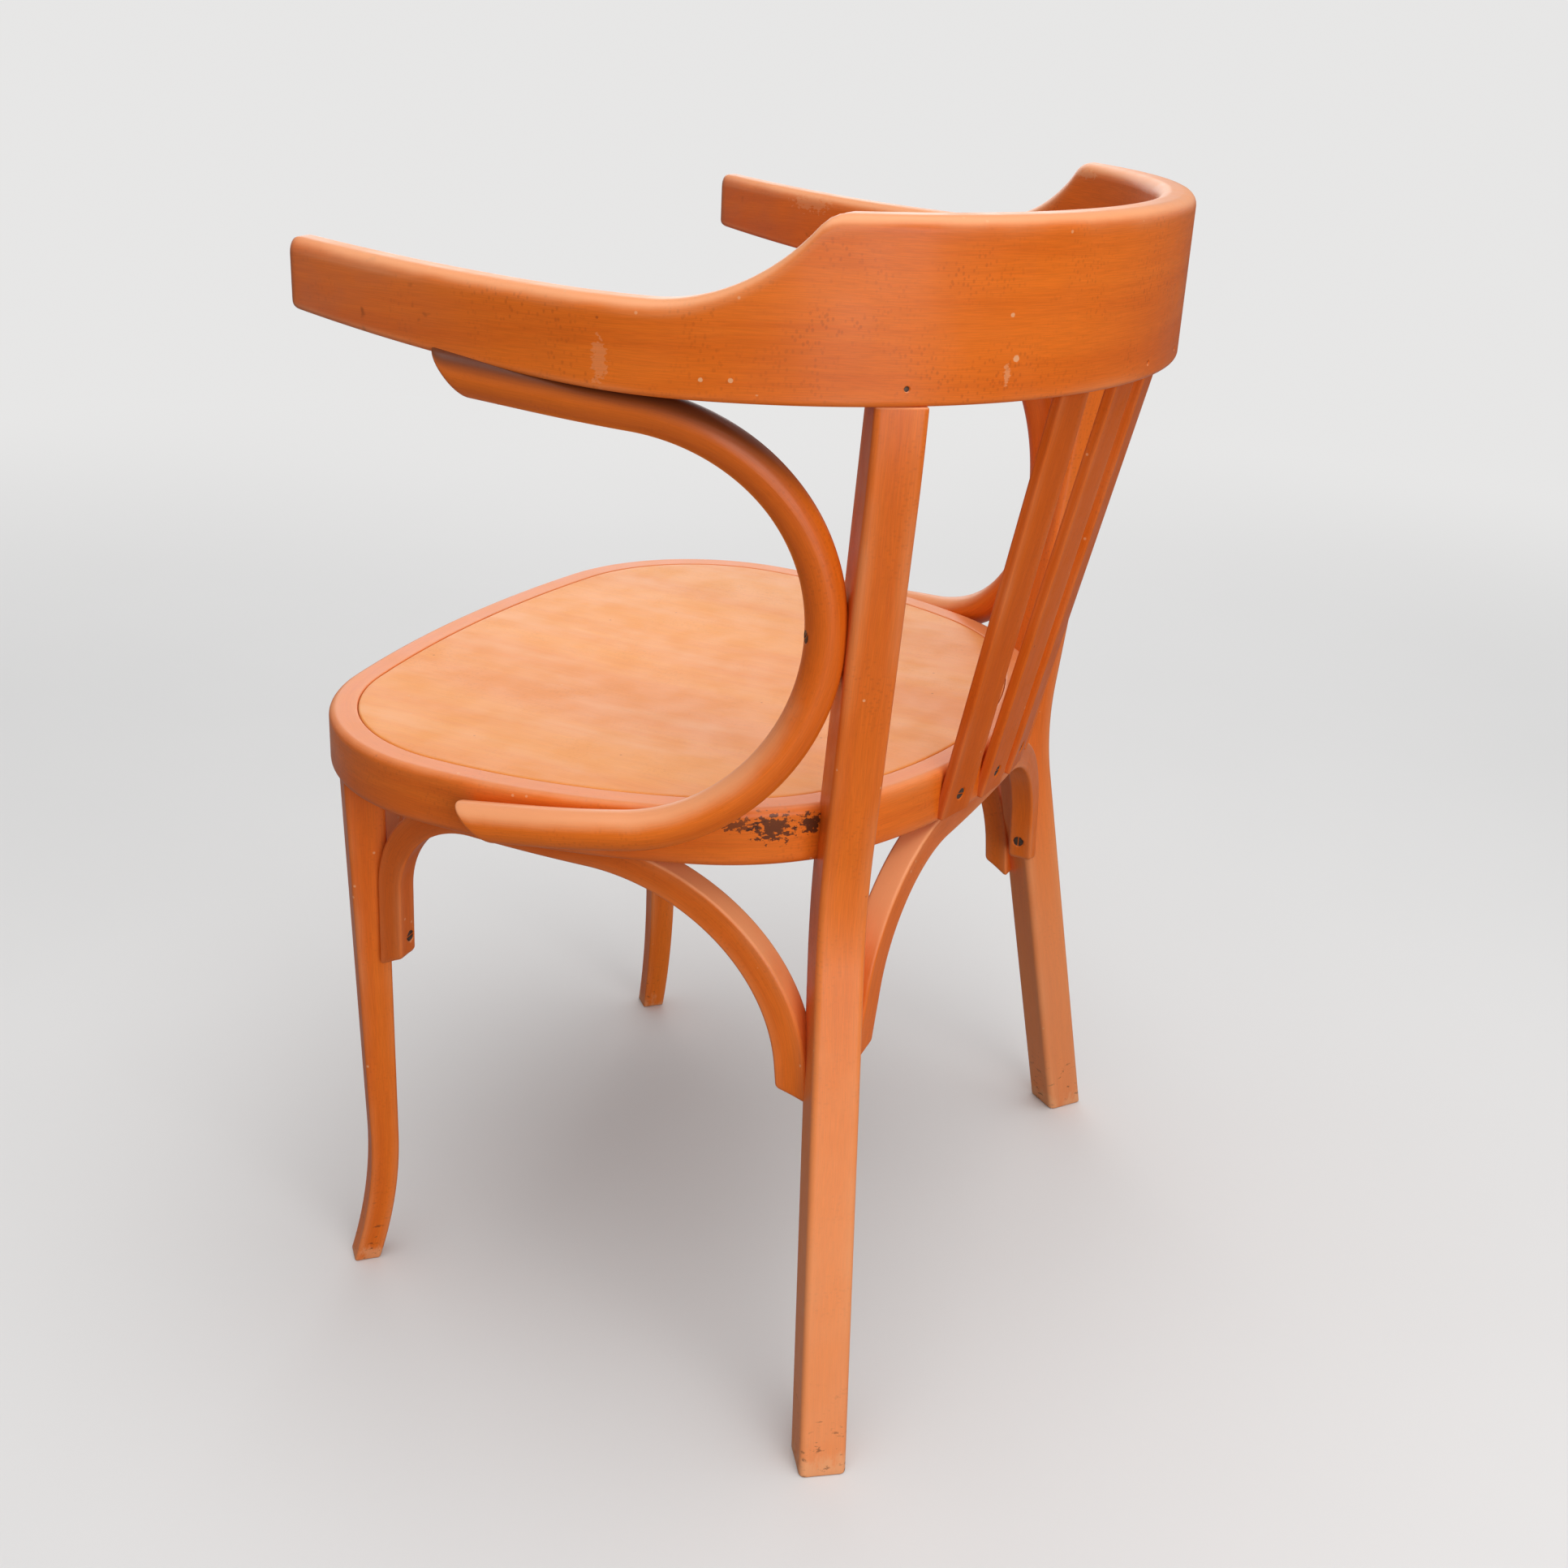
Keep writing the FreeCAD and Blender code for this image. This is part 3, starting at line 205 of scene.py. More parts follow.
class FinishColours(bpy.types.PropertyGroup):
    """Colours of the stained wood and of the fixings."""

    honey: colour("Honey", "Lighter tone of the stained beech", (0.840, 0.178, 0.013, 1))
    russet: colour("Russet", "Deeper tone of the stained beech", (0.700, 0.125, 0.007, 1))
    slat_deep: colour("Slat deep", "Darker grain of the slats", (0.600, 0.098, 0.006, 1))
    # The fleck colour is also laid on the loops under the arms as painted shade.
    fleck: colour("Fleck", "Short dark flecks of the beech", (0.360, 0.060, 0.007, 1))
    bare: colour("Bare wood", "Where the stain has worn away", (0.860, 0.440, 0.220, 1))
    # Painted sheen: a paler colour laid on faces that look up, and on the rear legs low down.
    faded: colour("Faded", "Faces that look up to the light", (0.960, 0.415, 0.190, 1))
    handled: colour("Handled", "Arms dulled by hands", (0.440, 0.130, 0.068, 1))
    # Dark stains, and painted shade on the tops of the loops under the arms.
    grime_and_shade: colour("Grime", "Dark stains", (0.045, 0.016, 0.010, 1))
    seat_light: colour("Seat light", "Lighter tone of the seat board", (0.920, 0.350, 0.072, 1))
    seat_deep: colour("Seat deep", "Deeper tone of the seat board", (0.880, 0.295, 0.058, 1))
    seat_wisp: colour("Seat wisp", "Pale wisps in the seat board", (0.920, 0.430, 0.190, 1))
    steel: colour("Steel", "Dull steel of the screws", (0.110, 0.080, 0.060, 1))
    rust: colour("Rust", "Rust on the screws", (0.055, 0.020, 0.009, 1))
    floor: colour("Floor", "Plain floor, as the camera sees it", (0.800, 0.790, 0.780, 1))
    bounce: colour("Bounce", "Plain floor, as the chair sees it", (0.270, 0.262, 0.258, 1))
    backdrop: colour("Backdrop", "Plain background", (0.800, 0.795, 0.790, 1))


class StageSizes(bpy.types.PropertyGroup):
    """The camera, the lights and the floor."""

    camera: bpy.props.FloatVectorProperty(name="Camera", description="Place of the camera", size=3,
                                          default=(1.1517, 0.5424, 0.8932), subtype="TRANSLATION", unit="LENGTH")
    around: turn("Around", "Camera's direction from +Y towards +X", 65.64)
    down: turn("Down", "Downward pitch of the camera", 23.12)
    roll: turn("Roll", "Roll of the camera", 3.04)
    lens: bpy.props.FloatProperty(name="Lens", description="Focal length on a 36 mm sensor", default=43.42,
                                  unit="CAMERA")
    floor_reach: length("Floor", "Half the width of the floor", 60.0)
    fade_from: length("Fade from", "Where the floor starts to fade into the background", 1.1)
    fade_to: length("Fade to", "Where the floor has faded into the background", 3.0)
    sky: bpy.props.FloatProperty(name="Sky", description="Strength of the even light", default=0.40, min=0)
    key: bpy.props.FloatProperty(name="Key", description="Power of the soft lamp overhead", default=70.0, min=0,
                                 unit="POWER")
    fill: bpy.props.FloatProperty(name="Fill", description="Power of the soft lamp beside", default=46.0, min=0,
                                  unit="POWER")
    rim: bpy.props.FloatProperty(name="Rim", description="Power of the soft lamp beyond", default=18.0, min=0,
                                 unit="POWER")


class ChairSettings(bpy.types.PropertyGroup):
    """Everything that a user of the chair would change."""

    seat: bpy.props.PointerProperty(type=SeatSizes)
    rail: bpy.props.PointerProperty(type=RailSizes)
    legs: bpy.props.PointerProperty(type=LegSizes)
    slats: bpy.props.PointerProperty(type=SlatSizes)
    loops: bpy.props.PointerProperty(type=LoopSizes)
    braces: bpy.props.PointerProperty(type=BraceSizes)
    finish: bpy.props.PointerProperty(type=FinishColours)
    stage: bpy.props.PointerProperty(type=StageSizes)


def settings():
    return bpy.context.scene.bentwood_chair


# Plan geometry


def heading(angle):
    return np.array((math.cos(angle), math.sin(angle), 0.0))


def across(direction):
    """The level direction a quarter turn to the left."""
    return np.array((-direction[1], direction[0], 0.0))


def bearing(start, end):
    return math.atan2(end[1] - start[1], end[0] - start[0])


def unit(vectors):
    return vectors / np.linalg.norm(vectors, axis=-1, keepdims=True)


def circle_meet(a, ra, b, rb):
    """The right-hand meeting point of two circles in plan."""
    gap = b - a
    span = np.linalg.norm(gap)
    along = (ra * ra - rb * rb + span ** 2) / (2 * span)
    normal = across(gap / span) * math.sqrt(ra * ra - along * along)
    foot = a + gap / span * along
    return max(foot + normal, foot - normal, key=lambda point: point[0])


def reach_circle(start, direction, centre, radius):
    """Distance from start along direction to where the ray leaves a circle in plan."""
    back = (start - centre)[:2]
    half = back @ direction[:2]
    return -half + math.sqrt(half * half - back @ back + radius ** 2)


def at_height(point, z):
    return np.array((point[0], point[1], z))


def smooth_ramp(x, half_width):
    """0 below -half_width, x above half_width, and a parabola tangent to both between."""
    bent = (x + half_width) ** 2 / (4 * half_width)
    return np.where(x < -half_width, 0.0, np.where(x > half_width, x, bent))


class Plan:
    """Centres, axes and lines that several pieces share, worked out from the settings."""

    def __init__(self, chair):
        seat, rail, legs = chair.seat, chair.rail, chair.legs
        half_width = RING_BOX[1].x
        self.front = np.array((0.0, FRONT_Y + seat.front_radius, 0.0))
        self.side = np.array((half_width - seat.side_radius, FRONT_Y + seat.widest, 0.0))
        self.rear = np.array((0.0, FRONT_Y + seat.depth - seat.rear_radius, 0.0))
        self.front_corner = circle_meet(self.front, seat.front_radius - seat.front_corner,
                                        self.side, seat.side_radius - seat.front_corner)
        self.rear_corner = circle_meet(self.rear, seat.rear_radius - seat.rear_corner,
                                       self.side, seat.side_radius - seat.rear_corner)
        self.rail = np.array((0.0, BACK_Y - rail.radius, 0.0))
        self.rail_middle = rail.radius - rail.thickness / 2
        self.place_rear_leg(seat, legs)
        self.place_front_leg(seat, legs)

    def place_rear_leg(self, seat, legs):
        self.rear_out = heading(legs.rear_bearing)
        self.rear_across = across(self.rear_out)
        self.rear_tip = math.tan(legs.rear_tilt)
        ring_point = self.rear_corner + heading(legs.rear_place) * seat.rear_corner
        self.rear_axis = ring_point + self.rear_out * (legs.rear_side / 2 - legs.rear_housing)
        rise = RAIL_UNDERSIDE - RING_MIDDLE
        top_start = self.rear_axis + self.rear_across * self.rear_tip * rise
        self.rear_slope = reach_circle(top_start, self.rear_out, self.rail, self.rail_middle) / rise
        knee = -self.rear_slope * (RING_MIDDLE - legs.knee_height)
        self.rear_fall = (legs.rear_splay - knee) / legs.knee_height
        self.rear_descent = self.rear_out * self.rear_fall - self.rear_across * self.rear_tip

    def place_front_leg(self, seat, legs):
        self.front_out = heading(legs.front_bearing)
        self.front_across = across(self.front_out)
        self.front_axis = (self.front_corner
                           + heading(legs.front_place) * (seat.front_corner - legs.front_inset))

    def rear_leg_out(self, z, legs):
        """Rear leg's outward place at height z: two slopes joined by a parabola of the knee's radius."""
        bend = self.rear_slope + self.rear_fall
        half = legs.knee_radius * bend / 2
        return (self.rear_slope * (z - RING_MIDDLE)
                + bend * smooth_ramp(legs.knee_height - z, half))

    def rear_leg_middle(self, z, legs):
        """Middle of the left rear leg at one height."""
        out = self.rear_leg_out(z, legs)
        sideways = self.rear_tip * (z - RING_MIDDLE)
        return at_height(self.rear_axis + self.rear_out * out + self.rear_across * sideways, z)

    def front_leg_middle(self, z, legs):
        """Middle of the left front leg at one height above its waist."""
        below = (RING_BOTTOM - z) / (RING_BOTTOM - legs.waist_height)
        lean = legs.lean * (RING_BOTTOM - z) / RING_BOTTOM
        return at_height(self.front_axis - self.front_out * legs.waist_inset * below
                         - self.front_across * lean, z)


# Sections and surfaces

CORNER_STEPS = 6
WEAR_REACH = 0.0022
CORNER_GAP = 0.0008


class Section:
    """A closed section of straight sides and corner arcs, read by the distance v round it."""

    def __init__(self, corners, radii, step, corner_steps=CORNER_STEPS):
        points, wear = [], []
        count = len(corners)
        corners = [np.array(c, float) for c in corners]
        for k, corner in enumerate(corners):
            before = unit(corner - corners[k - 1])
            after = unit(corners[(k + 1) % count] - corner)
            cross = before[0] * after[1] - before[1] * after[0]
            angle = math.atan2(cross, before @ after)
            reach = radii[k] * math.tan(abs(angle) / 2)
            start = corner - before * reach
            side = 1.0 if angle > 0 else -1.0
            centre = start + np.array((-before[1], before[0])) * side * radii[k]
            begin = math.atan2(*(start - centre)[::-1])
            turns = begin + angle * np.linspace(0, 1, corner_steps + 1)
            arc = centre + radii[k] * np.stack((np.cos(turns), np.sin(turns)), 1)
            if points:
                self.join(points, wear, arc[0], step)
            points.append(arc)
            wear.append(np.full(len(arc), 1.0 if side > 0 else 0.0))
        self.join(points, wear, points[0][0], step)
        line = np.concatenate(points)
        self.line = np.vstack((line, line[:1]))
        worn = np.concatenate(wear)
        self.worn = np.append(worn, worn[0])
        self.v = np.append(0, np.cumsum(np.linalg.norm(np.diff(self.line, axis=0), axis=1)))
        self.round = self.v[-1]

    @staticmethod
    def join(points, wear, end, step):
        """Add the inner points of a side, close to its ends and then about a step apart."""
        start = points[-1][-1]
        span = np.linalg.norm(end - start)
        near = min(CORNER_GAP, span / 4)
        count = max(2, int(span / step) + 1)
        places = np.concatenate(([near], np.linspace(0, span, count + 1)[1:-1], [span - near]))
        points.append(start + (end - start) * (np.sort(places) / span)[:, None])
        nearest = np.minimum(np.sort(places), span - np.sort(places))
        wear.append(np.exp(-nearest / WEAR_REACH))

    def at(self, v):
        """Section coordinates a and b, and wear, at the distances v."""
        v = np.mod(v, self.round)
        return (np.interp(v, self.v, self.line[:, 0]), np.interp(v, self.v, self.line[:, 1]),
                np.interp(v, self.v, self.worn))


def box_section(half_a, half_b, rounding, step=0.006, corner_steps=CORNER_STEPS):
    corners = [(half_a, -half_b), (half_a, half_b), (-half_a, half_b), (-half_a, -half_b)]
    return Section(corners, [rounding] * 4, step, corner_steps)


class Skin:
    """A sampled surface: points, grain coordinates along and across the wood, and edge wear."""

    def __init__(self, points, grain, wear):
        self.points = points
        self.grain = grain
        self.wear = wear


def along_and_across(u, a, b):
    """Grain coordinates: u along the fibres, a and b across them."""
    return np.stack(np.broadcast_arrays(u, a, b), -1)


def carried(points, u, a, b, wear):
    """A skin of a section carried along u, with its grain along u."""
    grain = along_and_across(u[:, None], a[None, :], b[None, :])
    return Skin(points, grain, np.broadcast_to(wear, points.shape[:2]).copy())


# Holes that the fixings need, read from the model


class Hole:
    """Where a fixing's head lies, the way it goes in, and the radius of its hole."""

    def __init__(self, point, axis, radius):
        self.point = point
        self.axis = axis
        self.radius = radius


def separate_solids(node):
    """Vertex arrays of the separate solids in a node, told apart by spreading the lowest label."""
    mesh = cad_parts[node].data
    points = np.zeros(len(mesh.vertices) * 3, np.float32)
    mesh.vertices.foreach_get("co", points)
    points = points.reshape(-1, 3).astype(float)
    corners = np.zeros(len(mesh.loops), np.int32)
    mesh.loops.foreach_get("vertex_index", corners)
    _, welded = np.unique(np.round(points, 6), axis=0, return_inverse=True)
    triangles = welded.ravel()[corners].reshape(-1, 3)
    label = np.arange(welded.max() + 1)
    while True:
        lowest = label[triangles].min(1)
        spread = label.copy()
        np.minimum.at(spread, triangles.ravel(), np.repeat(lowest, 3))
        if (spread == label).all():
            break
        label = spread
    owner = label[welded.ravel()]
    return [points[owner == k] for k in np.unique(owner)]


HOLE_PLAY = 0.00015


def screw_hole(points):
    """A screw's hole: its axis is the longest way through it, and its head the wider end."""
    middle = points.mean(0)
    axis = np.linalg.svd(points - middle, full_matrices=False)[2][0]
    run = (points - middle) @ axis
    spread = np.linalg.norm(points - middle - run[:, None] * axis, axis=1)
    low, high = run.min(), run.max()
    near = (high - low) / 20
    if spread[run < low + near].max() < spread[run > high - near].max():
        axis, run = -axis, -run
    offset = points - middle - run[:, None] * axis
    centre = middle + (offset.max(0) + offset.min(0)) / 2
    return Hole(centre + axis * run.min(), axis, spread.max() + HOLE_PLAY)


def washer_hole(points):
    """A washer's seat: its axis is the shortest way through it, and points away from the middle."""
    middle = (points.max(0) + points.min(0)) / 2
    axis = np.linalg.svd(points - points.mean(0), full_matrices=False)[2][2]
    axis = axis * np.sign(axis @ (middle * (1, 1, 0)))
    run = (points - middle) @ axis
    radius = np.linalg.norm(points - middle, axis=1).max()
    return Hole(middle + axis * run.min(), axis, radius + HOLE_PLAY)


SCREW_NODES = ("slat_screws", "brace_leg_screws", "brace_seat_screws", "loop_arm_screws",
               "loop_post_screws", "loop_seat_screws", "rail_pins")
HOLES = [screw_hole(solid) for node in SCREW_NODES for solid in separate_solids(node)]
HOLES += [washer_hole(solid) for solid in separate_solids("rear_leg_washers")]

HOLE_REACH = 0.0045
HOLE_FLOOR = 0.0004
HOLE_LINES = 15
HOLE_SPREAD = 1.3
HOLE_CLEAN = 0.0006
LINE_GAP = 0.0001
SEARCH_ROUNDS = 4
SEARCH_LINES = 11


def find_on_surface(surface, us, vs, point):
    """The place of the surface nearest to a point, found on finer and finer grids."""
    u_grid, v_grid = us, vs
    for _ in range(SEARCH_ROUNDS):
        gaps = np.linalg.norm(surface(u_grid, v_grid).points - point, axis=2)
        i, j = np.unravel_index(gaps.argmin(), gaps.shape)
        u, v, gap = u_grid[i], v_grid[j], gaps[i, j]
        du = np.diff(u_grid).max()
        dv = np.diff(v_grid).max()
        u_grid = np.clip(u + np.linspace(-du, du, SEARCH_LINES), us[0], us[-1])
        v_grid = v + np.linspace(-dv, dv, SEARCH_LINES)
    return u, v, gap


def with_lines(lines, added):
    """Sorted grid lines with others added, leaving out those that nearly coincide with their neighbour."""
    apart = np.abs(added[:, None] - lines[None, :]).min(1) > LINE_GAP
    return np.sort(np.concatenate((lines, added[apart])))


def sampled(surface, us, section, mirror=False):
    """Sample a surface on a grid drawn closer round each hole, and press the holes in."""
    flip = MIRROR if mirror else np.ones(3)
    vs = section.v[:-1]
    found = []
    for hole in HOLES:
        point, axis = hole.point * flip, hole.axis * flip
        u, v, gap = find_on_surface(surface, us, vs, point)
        if gap < HOLE_REACH:
            found.append((point, axis, hole.radius, u, v))
    spread = np.linspace(-HOLE_SPREAD, HOLE_SPREAD, HOLE_LINES)
    for _, _, radius, u, v in found:
        us = with_lines(us, np.clip(u + spread * radius, us[0], us[-1]))
        vs = with_lines(vs, np.mod(v + spread * radius, section.round))
    skin = surface(us, vs)
    for point, axis, radius, _, _ in found:
        rel = skin.points - point
        deep = rel @ axis
        away = np.linalg.norm(rel - deep[..., None] * axis, axis=2)
        inside = (away < radius) & (np.abs(deep) < HOLE_REACH)
        skin.points[inside] += ((HOLE_FLOOR - deep)[..., None] * axis)[inside]
        near = np.exp(-np.maximum(away - radius, 0) / HOLE_CLEAN) * (np.abs(deep) < HOLE_REACH)
        skin.wear = np.maximum(skin.wear * (1 - near), 0)
    return skin


# Meshes


def grid_quads(rows, columns):
    """Quads of a grid whose columns close into rings."""
    first = np.arange(rows - 1)[:, None] * columns
    here = np.arange(columns)[None, :]
    there = (here + 1) % columns
    quads = np.stack((first + here, first + there, first + columns + there, first + columns + here), -1)
    return quads.reshape(-1, 4)


END_STEPS = 4
END_SHARES = np.array((0.06, 0.35, 0.7))
END_FADES = (0.8, 0.3, 0.2)
END_WORN = 0.85
LEAST_RING = 0.05


def end_rings(skin, at_start, rounding):
    """Rings that close an end: a quarter-round edge of the given rounding, then rings towards the middle."""
    row, next_row = (0, 1) if at_start else (-1, -2)
    ring, grain, wear = skin.points[row], skin.grain[row], skin.wear[row]
    middle, grain_middle = ring.mean(0), grain.mean(0)
    out = unit(middle - skin.points[next_row].mean(0))
    sizes = np.linalg.norm(ring - middle, axis=1, keepdims=True)
    turns = np.linspace(0, math.pi / 2, END_STEPS + 1)[1:]
    shrink = rounding * (1 - np.cos(turns))
    push = rounding * np.sin(turns)
    inner = np.concatenate((shrink, rounding + (sizes.min() - rounding) * END_SHARES))
    outer = np.concatenate((push, np.full(len(END_SHARES), rounding)))
    scale = 1 - np.minimum(inner[:, None, None] / sizes, 1 - LEAST_RING)
    scale[END_STEPS:] = 1 - (inner[END_STEPS:] / sizes.min())[:, None, None]
    points = middle + (ring - middle) * scale + out * outer[:, None, None]
    grains = grain_middle + (grain - grain_middle) * scale
    fade = np.concatenate((np.ones(END_STEPS), END_FADES))
    return Skin(points, grains, np.maximum(wear[None, :], END_WORN) * fade[:, None])


def closed_ends(skin, rounding):
    """The skin with both ends closed by rings."""
    start, end = (end_rings(skin, at_start, rounding) for at_start in (True, False))
    return Skin(*(np.concatenate((getattr(start, part)[::-1], getattr(skin, part), getattr(end, part)))
                  for part in ("points", "grain", "wear")))


def mesh_of(name, skin, mirror=False, open_ends=False):
    """A mesh of a skin's grid, with a fan at each end unless the rows close on themselves."""
    rows, columns = skin.wear.shape
    points = skin.points.reshape(-1, 3)
    grain = skin.grain.reshape(-1, 3)
    wear = skin.wear.ravel()
    quads = grid_quads(rows, columns)
    triangles = np.zeros((0, 3), int)
    if not open_ends:
        here = np.arange(columns)
        there = (here + 1) % columns
        last = (rows - 1) * columns
        low, high = rows * columns, rows * columns + 1
        start = np.stack((np.full(columns, low), there, here), 1)
        end = np.stack((np.full(columns, high), last + here, last + there), 1)
        triangles = np.concatenate((start, end))
        points = np.vstack((points, skin.points[0].mean(0), skin.points[-1].mean(0)))
        grain = np.vstack((grain, skin.grain[0].mean(0), skin.grain[-1].mean(0)))
        wear = np.append(wear, (wear[0], wear[-1]))
    else:
        ring = np.arange(columns)
        last = (rows - 1) * columns
        closing = np.stack((last + ring, last + (ring + 1) % columns, (ring + 1) % columns, ring), 1)
        quads = np.concatenate((quads, closing))
    if mirror:
        points = points * MIRROR
    return raw_mesh(name, points, quads, triangles, grain, wear)


def enclosed(points, quads, triangles):
    """Six times the volume that the faces enclose, negative where they face inwards."""
    corners = np.concatenate((quads[:, :3], quads[:, [0, 2, 3]], triangles))
    a, b, c = (points[corners[:, k]] for k in range(3))
    return (a * np.cross(b, c)).sum()


def raw_mesh(name, points, quads, triangles, grain, wear):
    if enclosed(points, quads, triangles) < 0:
        quads, triangles = quads[:, ::-1], triangles[:, ::-1]
    mesh = bpy.data.meshes.new(name)
    mesh.vertices.add(len(points))
    mesh.vertices.foreach_set("co", points.astype(np.float32).ravel())
    corners = np.concatenate((quads.ravel(), triangles.ravel())).astype(np.int32)
    mesh.loops.add(len(corners))
    mesh.loops.foreach_set("vertex_index", corners)
    starts = np.concatenate((np.arange(len(quads)) * 4, quads.size + np.arange(len(triangles)) * 3))
    mesh.polygons.add(len(starts))
    mesh.polygons.foreach_set("loop_start", starts.astype(np.int32))
    mesh.polygons.foreach_set("use_smooth", np.ones(len(starts), bool))
    mesh.update(calc_edges=True)
    normals = np.zeros(len(points) * 3, np.float32)
    mesh.vertex_normals.foreach_get("vector", normals)
    for label, kind, key, values in (("grain", "FLOAT_VECTOR", "vector", grain.ravel()),
                                     ("wear", "FLOAT", "value", np.clip(wear, 0, 1)),
                                     ("upward", "FLOAT", "value", np.maximum(normals[2::3], 0))):
        layer = mesh.attributes.new(label, kind, "POINT")
        layer.data.foreach_set(key, values.astype(np.float32))
    return mesh


def linked(name, data):
    """A new object in the scene."""
    thing = bpy.data.objects.new(name, data)
    bpy.context.scene.collection.objects.link(thing)
    return thing


def show(name, mesh, node, wood):
    """Put a wooden piece in the scene in place of its node."""
    piece = linked(name, mesh)
    mesh.materials.append(wood_material(wood))
    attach(piece, "root")
    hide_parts(node)


GRAIN_SHIFT = np.array((1.37, 0.31, 0.23))


def shift_grain(skin, number):
    """Give each piece its own stretch of the wood's figure."""
    skin.grain = skin.grain + GRAIN_SHIFT * number
    return skin


def show_piece(name, node, surface, us, section, rounding, number, wood, mirror=False):
    """Sample a surface, close its ends and show it in place of its node."""
    skin = shift_grain(closed_ends(sampled(surface, us, section, mirror), rounding), number)
    show(name, mesh_of(name, skin, mirror), node, wood)


def show_both_sides(name, node, surface, us, section, rounding, number, wood):
    """A left piece and its mirror image, each with its own figure."""
    for side, mirror in (("_left", False), ("_right", True)):
        show_piece(name + side, node + side, surface, us, section, rounding, number + mirror, wood, mirror)


# Materials


class Nodes:
    """A short way to add and link nodes in one tree."""

    def __init__(self, tree):
        self.tree = tree

    def add(self, kind, inputs=None, **values):
        node = self.tree.nodes.new(kind)
        for name, value in values.items():
            setattr(node, name, value)
        for name, value in (inputs or {}).items():
            self.feed(node.inputs[name], value)
        return node

    def feed(self, socket, value):
        if isinstance(value, bpy.types.NodeSocket):
            self.tree.links.new(value, socket)
        else:
            socket.default_value = value

    def math(self, operation, first, second=0.0, clamp=False):
        return self.add("ShaderNodeMath", {0: first, 1: second}, operation=operation,
                        use_clamp=clamp).outputs[0]

    def times(self, first, second, clamp=False):
        return self.math("MULTIPLY", first, second, clamp)

    def attribute(self, name, output="Fac"):
        return self.add("ShaderNodeAttribute", attribute_name=name).outputs[output]

    def part(self, vector, axis):
        return self.add("ShaderNodeSeparateXYZ", {0: vector}).outputs[axis]

    def vector(self, operation, first, second, output=0):
        return self.add("ShaderNodeVectorMath", {0: first, 1: second}, operation=operation).outputs[output]

    def ramp(self, value, low, high, to_low=0.0, to_high=1.0):
        """Smooth step of a value from low to high."""
        node = self.add("ShaderNodeMapRange", {"Value": value, "From Min": low, "From Max": high,
                                               "To Min": to_low, "To Max": to_high},
                        interpolation_type="SMOOTHSTEP")
        return node.outputs["Result"]

    def length(self, vector):
        return self.add("ShaderNodeVectorMath", {0: vector}, operation="LENGTH").outputs["Value"]

    def stretch(self, vector, scale):
        return self.vector("MULTIPLY", vector, scale)

    def noise(self, vector, scale, detail=2.0, roughness=0.5):
        node = self.add("ShaderNodeTexNoise", {"Vector": self.stretch(vector, scale), "Scale": 1.0,
                                               "Detail": detail, "Roughness": roughness})
        return node.outputs["Fac"]

    def cells(self, vector, scale):
        return self.add("ShaderNodeTexVoronoi", {"Vector": self.stretch(vector, scale), "Scale": 1.0},
                        feature="F1")

    def grey(self, value):
        return self.add("ShaderNodeCombineColor", {0: value, 1: value, 2: value}).outputs[0]

    def mix(self, amount, first, second, blend="MIX"):
        return self.add("ShaderNodeMix", {0: amount, 6: first, 7: second}, data_type="RGBA",
                        blend_type=blend).outputs[2]


VECTOR, COLOUR, VALUE = "NodeSocketVector", "NodeSocketColor", "NodeSocketFloat"


def group_tree(name, inputs, outputs):
    """A node group with named sockets, given as {name: socket type}."""
    tree = bpy.data.node_groups.new(name, "ShaderNodeTree")
    for way, sockets in (("INPUT", inputs), ("OUTPUT", outputs)):
        for label, kind in sockets.items():
            tree.interface.new_socket(label, in_out=way, socket_type=kind)
    nodes = Nodes(tree)
    return nodes, nodes.add("NodeGroupInput").outputs, nodes.add("NodeGroupOutput").inputs


